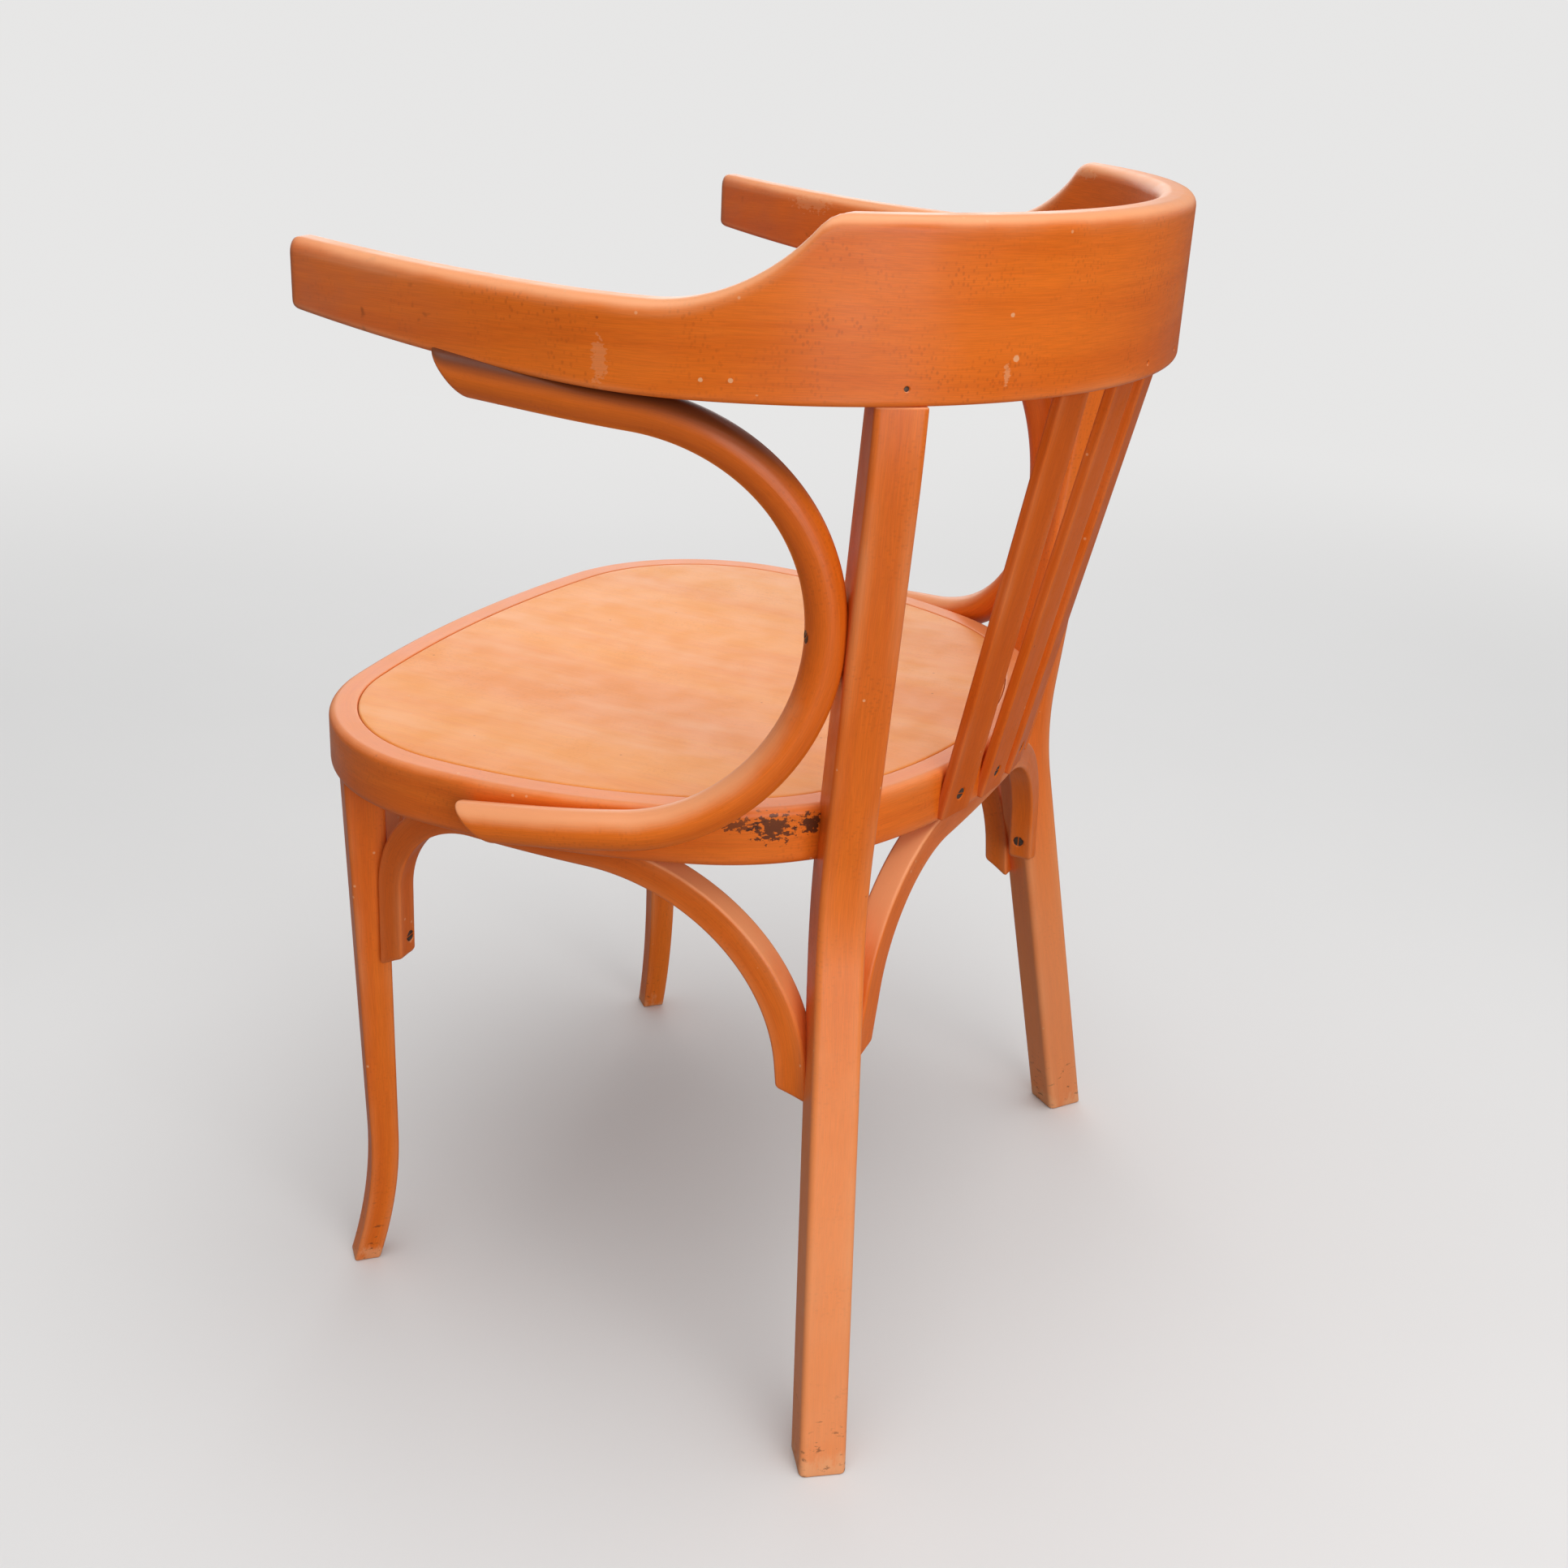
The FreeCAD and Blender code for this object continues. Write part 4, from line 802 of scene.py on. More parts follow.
def beech_figure():
    """Group: tone, streaks, fibres, flecks and pits of beech, from grain coordinates in metres."""
    name = "Beech Figure"
    if name in bpy.data.node_groups:
        return bpy.data.node_groups[name]
    nodes, given, out = group_tree(
        name, {"Grain": VECTOR, "Light": COLOUR, "Deep": COLOUR, "Fleck": COLOUR, "Fleck Amount": VALUE,
               "Pit Amount": VALUE, "Figure": VALUE}, {"Color": COLOUR, "Height": VALUE})
    grain = given["Grain"]
    sway = nodes.noise(grain, (4.0, 9.0, 9.0), 1.0)
    sideways = nodes.add("ShaderNodeCombineXYZ", {"Y": sway, "Z": sway}).outputs[0]
    bent = nodes.vector("ADD", grain, nodes.stretch(sideways, (0.0, 0.012, 0.012)))
    tone = nodes.noise(bent, (2.6, 17.0, 17.0), 2.0, 0.5)
    streak = nodes.noise(bent, (7.0, 170.0, 170.0), 3.0, 0.6)
    fibre = nodes.noise(bent, (60.0, 1900.0, 1900.0), 2.0, 0.6)
    blend = nodes.math("ADD", nodes.times(tone, 0.72), nodes.times(streak, 0.28))
    wood = nodes.mix(nodes.ramp(blend, 0.36, 0.64), given["Deep"], given["Light"])
    shade = nodes.times(nodes.ramp(fibre, 0.3, 0.7, -0.13, 0.09), given["Figure"])
    bright = nodes.math("ADD", shade, 1.0)
    wood = nodes.mix(1.0, wood, nodes.grey(bright), "MULTIPLY")
    dash = nodes.cells(bent, (380.0, 270.0, 270.0))
    where = nodes.ramp(nodes.noise(grain, (22.0, 30.0, 30.0), 3.0), 0.38, 0.72)
    dash_mask = nodes.times(nodes.ramp(dash.outputs["Distance"], 0.42, 0.16), where)
    dash_mask = nodes.times(dash_mask, given["Fleck Amount"], True)
    wood = nodes.mix(dash_mask, wood, given["Fleck"])
    pit = nodes.cells(grain, (62.0, 62.0, 62.0))
    chance = nodes.add("ShaderNodeSeparateColor", {0: pit.outputs["Color"]}).outputs[0]
    rare = nodes.math("GREATER_THAN", chance, 0.86)
    pit_mask = nodes.times(nodes.ramp(pit.outputs["Distance"], 0.075, 0.035), rare)
    pit_mask = nodes.times(pit_mask, given["Pit Amount"], True)
    wood = nodes.mix(pit_mask, wood, given["Fleck"])
    nodes.feed(out["Color"], wood)
    sunk = nodes.math("ADD", nodes.times(dash_mask, 0.4), pit_mask)
    nodes.feed(out["Height"], nodes.math("SUBTRACT", nodes.times(fibre, 0.35), sunk))
    return nodes.tree


def varnish_wear_and_sheen():
    """Group: varnish thinned along edges, nicked and smeared, with a painted sheen laid on faces that look up, on
    Object coordinates.
    """
    name = "Handled Varnish"
    if name in bpy.data.node_groups:
        return bpy.data.node_groups[name]
    nodes, given, out = group_tree(
        name, {"Color": COLOUR, "Place": VECTOR, "Wear": VALUE, "Bare": COLOUR, "Upward": VALUE, "Faded": COLOUR,
               "Wear Amount": VALUE, "Gloss": VALUE}, {"Color": COLOUR, "Roughness": VALUE, "Worn": VALUE})
    place = given["Place"]
    patch = nodes.noise(place, (11.0, 11.0, 11.0), 2.0)
    soft = nodes.times(given["Wear"], nodes.ramp(patch, 0.35, 0.70, 0.05, 0.34))
    nick = nodes.cells(place, (95.0, 95.0, 95.0))
    chance = nodes.add("ShaderNodeSeparateColor", {0: nick.outputs["Color"]}).outputs[1]
    rare = nodes.math("GREATER_THAN", chance, nodes.ramp(given["Wear"], 0.2, 0.9, 0.955, 0.72))
    worn = nodes.times(nodes.ramp(nick.outputs["Distance"], 0.12, 0.06), rare)
    worn = nodes.times(nodes.math("MAXIMUM", worn, soft), given["Wear Amount"], True)
    smear = nodes.noise(place, (33.0, 33.0, 33.0), 3.0, 0.6)
    rough = nodes.math("ADD", given["Gloss"], nodes.ramp(smear, 0.3, 0.75, -0.05, 0.10))
    rough = nodes.math("ADD", rough, nodes.times(worn, 0.15), True)
    # Painted sheen: faces that look up, with a little noise, are laid over with the paler sheen colour.
    pale = nodes.math("ADD", given["Upward"], nodes.ramp(smear, 0.3, 0.7, -0.05, 0.05))
    shown = nodes.mix(nodes.ramp(pale, 0.12, 0.78, 0.0, 0.80), given["Color"], given["Faded"])
    nodes.feed(out["Color"], nodes.mix(worn, shown, given["Bare"]))
    nodes.feed(out["Roughness"], rough)
    nodes.feed(out["Worn"], worn)
    return nodes.tree


def ragged_mark():
    """Group: mask of a ragged spot, 1 inside its half sizes and 0 outside, on Object coordinates."""
    name = "Ragged Mark"
    if name in bpy.data.node_groups:
        return bpy.data.node_groups[name]
    nodes, given, out = group_tree(
        name, {"Place": VECTOR, "Centre": VECTOR, "Size": VECTOR, "Ragged": VALUE}, {"Mask": VALUE})
    away = nodes.vector("DIVIDE", nodes.vector("SUBTRACT", given["Place"], given["Centre"]), given["Size"])
    far = nodes.length(away)
    rag = nodes.ramp(nodes.noise(given["Place"], (260.0, 260.0, 420.0), 4.0, 0.6), 0.25, 0.75, -1.0, 1.0)
    edge = nodes.math("ADD", far, nodes.times(rag, given["Ragged"]))
    nodes.feed(out["Mask"], nodes.ramp(edge, 1.0, 0.72))
    return nodes.tree


COAT = {"Coat Weight": 0.12, "Coat Roughness": 0.20, "Specular IOR Level": 0.22}
DULL = {"Coat Weight": 0.0, "Specular IOR Level": 0.06}


def open_sheen(nodes, place, upward):
    """Every face that looks up gets the full painted sheen."""
    return upward


# The seat board gets no painted sheen.
def no_sheen(nodes, place, upward):
    return 0.0


def loop_sheen(nodes, place, upward):
    """The loops get no painted sheen where the arms cover them."""
    height = nodes.part(place, "Z")
    return nodes.times(upward, nodes.ramp(height, 0.50, 0.60, 1.0, 0.0))


def hoop_sheen(nodes, place, upward):
    """The hoop gets half as much painted sheen as the rail does."""
    return nodes.times(upward, 0.5)


def rail_sheen(nodes, place, upward):
    """The arms get less painted sheen towards their tips, where hands lie."""
    ahead = nodes.part(place, "Y")
    return nodes.times(upward, nodes.ramp(ahead, -0.24, -0.06, 0.45, 1.0))


# Marks as (centre, half sizes, colour, amount, raggedness), in metres
RAIL_MARKS = (
    ((0.2707, 0.0218, 0.6990), (0.020, 0.0045, 0.013), "bare", 0.22, 0.60),
    ((0.2577, 0.0765, 0.6939), (0.004, 0.0014, 0.0014), "bare", 0.85, 0.2),
    ((0.2520, 0.0914, 0.6945), (0.004, 0.0014, 0.0014), "bare", 0.80, 0.2),
    ((0.1497, 0.2147, 0.7064), (0.0024, 0.0024, 0.0020), "bare", 0.80, 0.2),
    ((0.1540, 0.2119, 0.7302), (0.0015, 0.0015, 0.0014), "bare", 0.75, 0.2),
    ((0.1545, 0.2116, 0.6978), (0.0026, 0.0022, 0.0055), "bare", 0.40, 0.5),
    ((-0.2521, -0.0960, 0.7305), (0.010, 0.0150, 0.0070), "bare", 0.28, 0.7),
    ((-0.1953, 0.1411, 0.7753), (0.012, 0.0120, 0.0030), "bare", 0.35, 0.5),
)
HOOP_MARKS = (
    ((0.2150, 0.0900, 0.4205), (0.0100, 0.0100, 0.0042), "grime_and_shade", 0.75, 0.85),
    ((0.2025, 0.1065, 0.4180), (0.0125, 0.0125, 0.0085), "grime_and_shade", 0.85, 0.85),
    ((0.1850, 0.1240, 0.4190), (0.0080, 0.0080, 0.0065), "grime_and_shade", 0.90, 0.70),
)


def marked(nodes, base, place, marks):
    """The base colour with each mark laid over it."""
    tones = settings().finish
    for centre, size, tone, amount, ragged in marks:
        mark = nodes.add("ShaderNodeGroup", {"Place": place, "Centre": centre, "Size": size, "Ragged": ragged},
                         node_tree=ragged_mark())
        base = nodes.mix(nodes.times(mark.outputs["Mask"], amount), base, getattr(tones, tone))
    return base


def rail_marks(nodes, base, place, grain):
    """Arms dulled towards their tips, with dark blots there, then the separate marks."""
    tones = settings().finish
    ahead = nodes.part(place, "Y")
    cloud = nodes.ramp(nodes.noise(place, (24.0, 24.0, 24.0), 3.0, 0.6), 0.25, 0.75, 0.45, 1.0)
    dull = nodes.times(nodes.ramp(ahead, -0.02, -0.19), cloud)
    base = nodes.mix(nodes.times(dull, 0.72), base, tones.handled)
    blot = nodes.ramp(nodes.noise(place, (75.0, 75.0, 75.0), 2.0), 0.66, 0.76)
    blot = nodes.times(blot, nodes.ramp(ahead, 0.02, -0.08, 0.0, 0.5))
    base = nodes.mix(blot, base, tones.grime_and_shade)
    return marked(nodes, base, place, RAIL_MARKS)


def loop_shade_under_arms(nodes, base, place, grain):
    """Painted shade: the loops are darkened under the arms, and painted near black on their tops right under the
    arms.
    """
    height = nodes.part(place, "Z")
    upward = nodes.attribute("upward")
    # Painted shade: darker towards the fleck colour as the loop rises under the arm.
    base = nodes.mix(nodes.ramp(height, 0.57, 0.67, 0.0, 0.35), base, settings().finish.fleck)
    # Painted shadow: near black on the loop's top, just under the arm.
    shadow_under_arm = nodes.times(nodes.ramp(upward, 0.0, 0.75), nodes.ramp(height, 0.60, 0.66, 0.0, 0.85))
    return nodes.mix(shadow_under_arm, base, settings().finish.grime_and_shade)


def hoop_marks(nodes, base, place, grain):
    return marked(nodes, base, place, HOOP_MARKS)


def rear_leg_sheen_and_marks(nodes, base, place, grain):
    """Rear legs are painted paler below the seat, a painted sheen, and their feet are worn."""
    height = nodes.part(place, "Z")
    # Painted sheen: paler towards the floor.
    base = nodes.mix(nodes.ramp(height, 0.42, 0.12, 0.0, 0.45), base, settings().finish.faded)
    return leg_marks(nodes, base, place, grain)


def leg_marks(nodes, base, place, grain):
    """Feet worn pale at the floor, with dark scrapes just above it."""
    tones = settings().finish
    height = nodes.part(place, "Z")
    ragged = nodes.noise(place, (90.0, 90.0, 45.0), 4.0, 0.65)
    low = nodes.math("ADD", height, nodes.ramp(ragged, 0.3, 0.7, -0.010, 0.010))
    base = nodes.mix(nodes.ramp(low, 0.014, 0.000, 0.0, 0.45), base, tones.bare)
    scrape = nodes.ramp(nodes.noise(place, (130.0, 130.0, 300.0), 3.0, 0.6), 0.60, 0.70)
    scrape = nodes.times(scrape, nodes.ramp(height, 0.075, 0.015, 0.0, 0.6))
    return nodes.mix(scrape, base, tones.grime_and_shade)


def seat_wisps(nodes, base, place, grain):
    """Pale wisps drawn out along the seat's grain."""
    tones = settings().finish
    wisp = nodes.noise(grain, (5.0, 26.0, 26.0), 4.0, 0.62)
    return nodes.mix(nodes.ramp(wisp, 0.50, 0.74, 0.0, 0.45), base, tones.seat_wisp)


class Wood:
    """A kind of stained wood: its tones, how much figure and wear it shows, its marks and painted shade, and how
    much painted sheen its upward faces get.
    """

    def __init__(self, light="honey", deep="russet", fleck=0.22, pit=0.7, figure=0.6, wear=0.6, gloss=0.34,
                 marks=None, fade=open_sheen, coat=COAT):
        self.light, self.deep = light, deep
        self.fleck, self.pit, self.figure = fleck, pit, figure
        self.wear, self.gloss, self.coat = wear, gloss, coat
        self.marks, self.fade = marks, fade


WOODS = {
    "Stained Beech": Wood(),
    "Rail Beech": Wood(fleck=0.38, gloss=0.33, marks=rail_marks, fade=rail_sheen),
    "Loop Beech": Wood(marks=loop_shade_under_arms, fade=loop_sheen),
    "Slat Beech": Wood(light="russet", deep="slat_deep", coat=DULL),
    "Hoop Beech": Wood(pit=0.8, gloss=0.36, marks=hoop_marks, fade=hoop_sheen),
    "Leg Beech": Wood(pit=0.6, wear=0.7, gloss=0.36, marks=leg_marks),
    "Rear Leg Beech": Wood(pit=0.6, wear=0.7, gloss=0.36, marks=rear_leg_sheen_and_marks),
    "Board Veneer": Wood(light="seat_light", deep="seat_deep", fleck=0.10, pit=0.5, figure=0.3, wear=0.5,
                         gloss=0.40, marks=seat_wisps, fade=no_sheen),
}
WORN_DEPTH = 0.4
BUMP = {"Strength": 0.12, "Distance": 0.0005}


def empty_material(name):
    """A new material and the short way into its empty node tree."""
    material = bpy.data.materials.new(name)
    material.use_nodes = True
    material.node_tree.nodes.clear()
    return material, Nodes(material.node_tree)


def wood_material(name):
    """Figure on the grain coordinates, then marks and painted shade, and varnish wear with a painted sheen, on
    Object coordinates.
    """
    if name in bpy.data.materials:
        return bpy.data.materials[name]
    tones = settings().finish
    wood = WOODS[name]
    material, nodes = empty_material(name)
    grain = nodes.attribute("grain", "Vector")
    place = nodes.add("ShaderNodeTexCoord").outputs["Object"]
    figure = nodes.add("ShaderNodeGroup", {
        "Grain": grain, "Light": getattr(tones, wood.light), "Deep": getattr(tones, wood.deep),
        "Fleck": tones.fleck, "Fleck Amount": wood.fleck, "Pit Amount": wood.pit, "Figure": wood.figure},
        node_tree=beech_figure())
    base = figure.outputs["Color"]
    if wood.marks:
        base = wood.marks(nodes, base, place, grain)
    varnish = nodes.add("ShaderNodeGroup", {
        "Color": base, "Place": place, "Wear": nodes.attribute("wear"), "Bare": tones.bare,
        "Upward": wood.fade(nodes, place, nodes.attribute("upward")), "Faded": tones.faded,
        "Wear Amount": wood.wear, "Gloss": wood.gloss}, node_tree=varnish_wear_and_sheen()).outputs
    height = nodes.math("SUBTRACT", figure.outputs["Height"], nodes.times(varnish["Worn"], WORN_DEPTH))
    bump = nodes.add("ShaderNodeBump", {"Height": height, **BUMP})
    shader = nodes.add("ShaderNodeBsdfPrincipled", {
        "Base Color": varnish["Color"], "Roughness": varnish["Roughness"], "Normal": bump.outputs[0], **wood.coat})
    nodes.add("ShaderNodeOutputMaterial", {"Surface": shader.outputs[0]})
    return material


def steel_material():
    """Dark screws with rust in patches, on Object coordinates."""
    name = "Dull Steel"
    if name in bpy.data.materials:
        return bpy.data.materials[name]
    tones = settings().finish
    material, nodes = empty_material(name)
    place = nodes.add("ShaderNodeTexCoord").outputs["Object"]
    patch = nodes.ramp(nodes.noise(place, (420.0, 420.0, 420.0), 4.0, 0.65), 0.42, 0.62)
    shader = nodes.add("ShaderNodeBsdfPrincipled", {
        "Base Color": nodes.mix(patch, tones.steel, tones.rust),
        "Metallic": nodes.ramp(patch, 0.0, 1.0, 0.7, 0.1), "Roughness": nodes.ramp(patch, 0.0, 1.0, 0.45, 0.8)})
    nodes.add("ShaderNodeOutputMaterial", {"Surface": shader.outputs[0]})
    return material


# Seat


def seat_outline(chair, plan, steps_per_metre):
    """Outline of the seat as (path length, points, outward normals): eight tangent arcs, anticlockwise."""
    seat = chair.seat
    a1 = bearing(plan.front, plan.front_corner)
    a2 = bearing(plan.side, plan.front_corner)
    a3 = bearing(plan.side, plan.rear_corner)
    a4 = bearing(plan.rear, plan.rear_corner)
    left = [(plan.front, seat.front_radius, -math.pi / 2, a1),
            (plan.front_corner, seat.front_corner, a1, a2),
            (plan.side, seat.side_radius, a2, a3),
            (plan.rear_corner, seat.rear_corner, a3, a4)]
    right = [(centre * MIRROR, radius, math.pi - end, math.pi - start)
             for centre, radius, start, end in reversed(left)]
    arcs = left + [(plan.rear, seat.rear_radius, a4, math.pi - a4)] + right
    points, normals = [], []
    for centre, radius, start, end in arcs:
        count = max(3, int(radius * abs(end - start) * steps_per_metre))
        turns = np.linspace(start, end, count + 1)[:-1]
        normal = np.stack((np.cos(turns), np.sin(turns), np.zeros(count)), 1)
        points.append(centre + radius * normal)
        normals.append(normal)
    points, normals = np.concatenate(points), np.concatenate(normals)
    gaps = np.linalg.norm(np.diff(points, axis=0, append=points[:1]), axis=1)
    return np.append(0, np.cumsum(gaps)), points, normals


def along_outline(outline, u):
    """Points and outward normals of the outline at path lengths u."""
    lengths, points, normals = outline
    wrapped = np.mod(u, lengths[-1])
    points = np.vstack((points, points[:1]))
    normals = np.vstack((normals, normals[:1]))
    place, normal = (np.stack([np.interp(wrapped, lengths, rows[:, k]) for k in range(3)], -1)
                     for rows in (points, normals))
    return place, unit(normal)


# Radii of the rebate's top edge, its inner corner, its lower edge and the hoop's inner lower edge
REBATE_RADII = (0.0014, 0.0004, 0.0006, 0.0015)
SECTION_STEP = 0.005
HOOP_DENSITY = 260
BOARD_DENSITY = 220


def hoop_section(seat):
    """The hoop's section: inset from the outer face against height, with the rebate for the board."""
    floor = SEAT_TOP - seat.board
    width, lip = seat.hoop_width, seat.lip
    corners = [(0.0, RING_BOTTOM), (0.0, SEAT_TOP), (-lip, SEAT_TOP), (-lip, floor), (-width, floor),
               (-width, RING_BOTTOM)]
    return Section(corners, [seat.rounding, seat.rounding, *REBATE_RADII], SECTION_STEP)


def build_hoop(chair, plan):
    seat = chair.seat
    outline = seat_outline(chair, plan, HOOP_DENSITY)
    section = hoop_section(seat)

    def surface(u, v):
        """Outline point plus the section's inset along its normal, at the section's height."""
        a, b, wear = section.at(v)
        place, normal = along_outline(outline, u)
        points = place[:, None, :] + normal[:, None, :] * a[None, :, None]
        points[..., 2] = b
        return carried(points, u, a, b, wear)

    skin = shift_grain(sampled(surface, outline[0][:-1], section), 1)
    show("seat_hoop", mesh_of("seat_hoop", skin, open_ends=True), "seat_ring", "Hoop Beech")


# Share of the board's half width at which its middle is closed by a fan
BOARD_HUB = 0.04
BOARD_EDGE_WEAR = 0.5


def build_board(chair, plan):
    seat = chair.seat
    outline = seat_outline(chair, plan, BOARD_DENSITY)
    middle = np.array((0.0, FRONT_Y + seat.depth / 2, 0.0))
    rim = outline[1] - outline[2] * (seat.lip + seat.gap)
    ball = (seat.dish_reach ** 2 + seat.dish_depth ** 2) / (2 * seat.dish_depth)
    edge = seat.board_edge

    def dish(points):
        """Depth of a sphere's cap below the seat's top."""
        reach = np.linalg.norm(points[..., :2] - middle[:2], axis=-1)
        return np.maximum(seat.dish_depth - reach ** 2 / (2 * ball), 0)

    inner = rim - outline[2] * edge
    shares = np.concatenate((np.linspace(BOARD_HUB, 0.97, 46), [0.99, 1.0]))
    top = middle + (inner - middle) * shares[:, None, None]
    top[..., 2] = SEAT_TOP - dish(top)
    turns = np.linspace(0, math.pi / 2, 6)[1:]
    bead = inner[None] + outline[2][None] * (edge * np.sin(turns))[:, None, None]
    bead[..., 2] = (SEAT_TOP - edge * (1 - np.cos(turns)))[:, None]
    under = middle + (rim - middle) * np.array((1.0, 0.97, 0.5, BOARD_HUB))[:, None, None]
    under[..., 2] = SEAT_TOP - seat.board
    points = np.concatenate((top, bead, under))
    grain = points[..., [1, 0, 2]]
    wear = np.zeros(points.shape[:2])
    wear[len(top) - 2:len(top) + len(bead)] = BOARD_EDGE_WEAR
    mesh = mesh_of("seat_board", shift_grain(Skin(points, grain, wear), 3))
    show("seat_board", mesh, "seat_panel", "Board Veneer")


# Rail


def arm_side_view(rail):
    """Heights of the rail's top and underside at depth y, as two functions."""
    waist_z = BACK_TOP - rail.arm_drop
    corner_z = BACK_TOP - rail.scoop_corner
    corner_y = BACK_Y - rail.scoop_back
    scoop_z = waist_z + rail.scoop
    reach = rail.scoop + rail.scoop_corner
    scoop_y = corner_y - math.sqrt(reach ** 2 - (scoop_z - corner_z) ** 2)
    meet_y = scoop_y + (corner_y - scoop_y) * rail.scoop / reach
    lift_y = BACK_Y - rail.lift

    def arc(distance, radius):
        return np.sqrt(np.maximum(radius ** 2 - distance ** 2, 0))

    def top(y):
        arm = waist_z + rail.top_radius - arc(np.minimum(y - scoop_y, 0), rail.top_radius)
        scoop = scoop_z - arc(np.clip(y - scoop_y, 0, rail.scoop), rail.scoop)
        corner = corner_z + arc(np.clip(y - corner_y, -rail.scoop_corner, 0), rail.scoop_corner)
        return np.where(y < scoop_y, arm, np.where(y < meet_y, scoop, np.where(y < corner_y, corner, BACK_TOP)))

    def under(y):
        return RAIL_UNDERSIDE + rail.under_radius - arc(np.minimum(y - lift_y, 0), rail.under_radius)

    return top, under


TIP_STEPS = 8
TIP_CAP = 0.0003
RAIL_ROWS = 240
# How much of the tip's draw shows at the top and at the underside
TIP_TOP, TIP_UNDER = 0.6, 0.4


def build_rail(chair, plan):
    rail = chair.rail
    top, under = arm_side_view(rail)
    arc_length = plan.rail_middle * (math.pi - 2 * rail.flare)
    total = arc_length + 2 * rail.straight
    half = rail.thickness / 2
    tall = BACK_TOP - RAIL_UNDERSIDE
    flat = tall - rail.top_rounding - rail.under_rounding
    section = Section([(half, 0), (half, tall), (-half, tall), (-half, 0)],
                      [rail.under_rounding, rail.top_rounding, rail.top_rounding, rail.under_rounding],
                      SECTION_STEP)

    def middle_line(u):
        """Middle of the board in plan: straight arm, arc round the back, straight arm."""
        s = u - rail.straight
        turns = rail.flare + np.clip(s, 0, arc_length) / plan.rail_middle
        normal = np.stack((np.cos(turns), np.sin(turns), np.zeros_like(turns)), -1)
        tangent = np.stack((-normal[..., 1], normal[..., 0], normal[..., 2]), -1)
        over = s - np.clip(s, 0, arc_length)
        return plan.rail + normal * plan.rail_middle + tangent * over[..., None], normal

    def surface(u, v):
        """Section across the board, stretched between underside and top, and drawn in near each tip."""
        a, b, wear = section.at(v)
        stretch = np.clip(b - rail.under_rounding, 0, flat)
        low = b - stretch
        to_tip = np.minimum(u, total - u)
        into = np.clip(rail.tip_rounding - to_tip, 0, rail.tip_rounding)
        draw = rail.tip_rounding - np.sqrt(rail.tip_rounding ** 2 - into ** 2)
        place, normal = middle_line(u)
        width = a[None, :] * (1 - draw / half)[:, None]
        points = place[:, None, :] + normal[:, None, :] * width[..., None]
        y = points[..., 1]
        high = top(y) - TIP_TOP * draw[:, None]
        bottom = under(y) + TIP_UNDER * draw[:, None]
        face = high - bottom - rail.top_rounding - rail.under_rounding
        points[..., 2] = bottom + low + stretch / flat * face
        grain = along_and_across(u[:, None], width, points[..., 2])
        worn = np.broadcast_to(wear, points.shape[:2]) + (into / rail.tip_rounding)[:, None]
        return Skin(points, grain, np.clip(worn, 0, 1))

    tip = rail.tip_rounding * (1 - np.cos(np.linspace(0, math.pi / 2, TIP_STEPS + 1)))[:-1]
    run = np.linspace(rail.tip_rounding, total - rail.tip_rounding, RAIL_ROWS)
    us = np.concatenate((tip, run, total - tip[::-1]))
    show_piece("bent_rail", "arm_rail", surface, us, section, TIP_CAP, 5, "Rail Beech")


# Legs


SLOPE_STEP = 0.001
REAR_ROWS = 150
FRONT_ROWS = 110
# Length of the front leg that goes up into the hoop
FRONT_SUNK = 0.003


def build_rear_legs(chair, plan):
    legs = chair.legs
    half = legs.rear_side / 2
    section = box_section(half, half, legs.rear_rounding)

    def surface(u, v):
        """Level square sections at heights u, moved along the bent axis and stretched by its slope."""
        a, b, wear = section.at(v)
        out = plan.rear_leg_out(u, legs)
        rise = plan.rear_leg_out(u + SLOPE_STEP, legs) - plan.rear_leg_out(u - SLOPE_STEP, legs)
        slope = rise / (2 * SLOPE_STEP)
        stretch = np.sqrt(1 + slope ** 2)
        sideways = plan.rear_tip * (u - RING_MIDDLE)
        eased = legs.ease * np.clip(1 - (RAIL_UNDERSIDE - u) / legs.ease_length, 0, 1) ** 2
        along_out = out[:, None] + a * stretch[:, None] - eased[:, None] * np.clip(a / half, 0, 1)
        along_across = sideways[:, None] + b
        points = (plan.rear_axis + plan.rear_out * along_out[..., None]
                  + plan.rear_across * along_across[..., None])
        points[..., 2] = u[:, None]
        return carried(points, u, a, b, wear)

    us = np.linspace(legs.foot_rounding, RAIL_UNDERSIDE - legs.foot_rounding, REAR_ROWS)
    show_both_sides("rear_post", "rear_leg", surface, us, section, legs.foot_rounding, 8, "Rear Leg Beech")


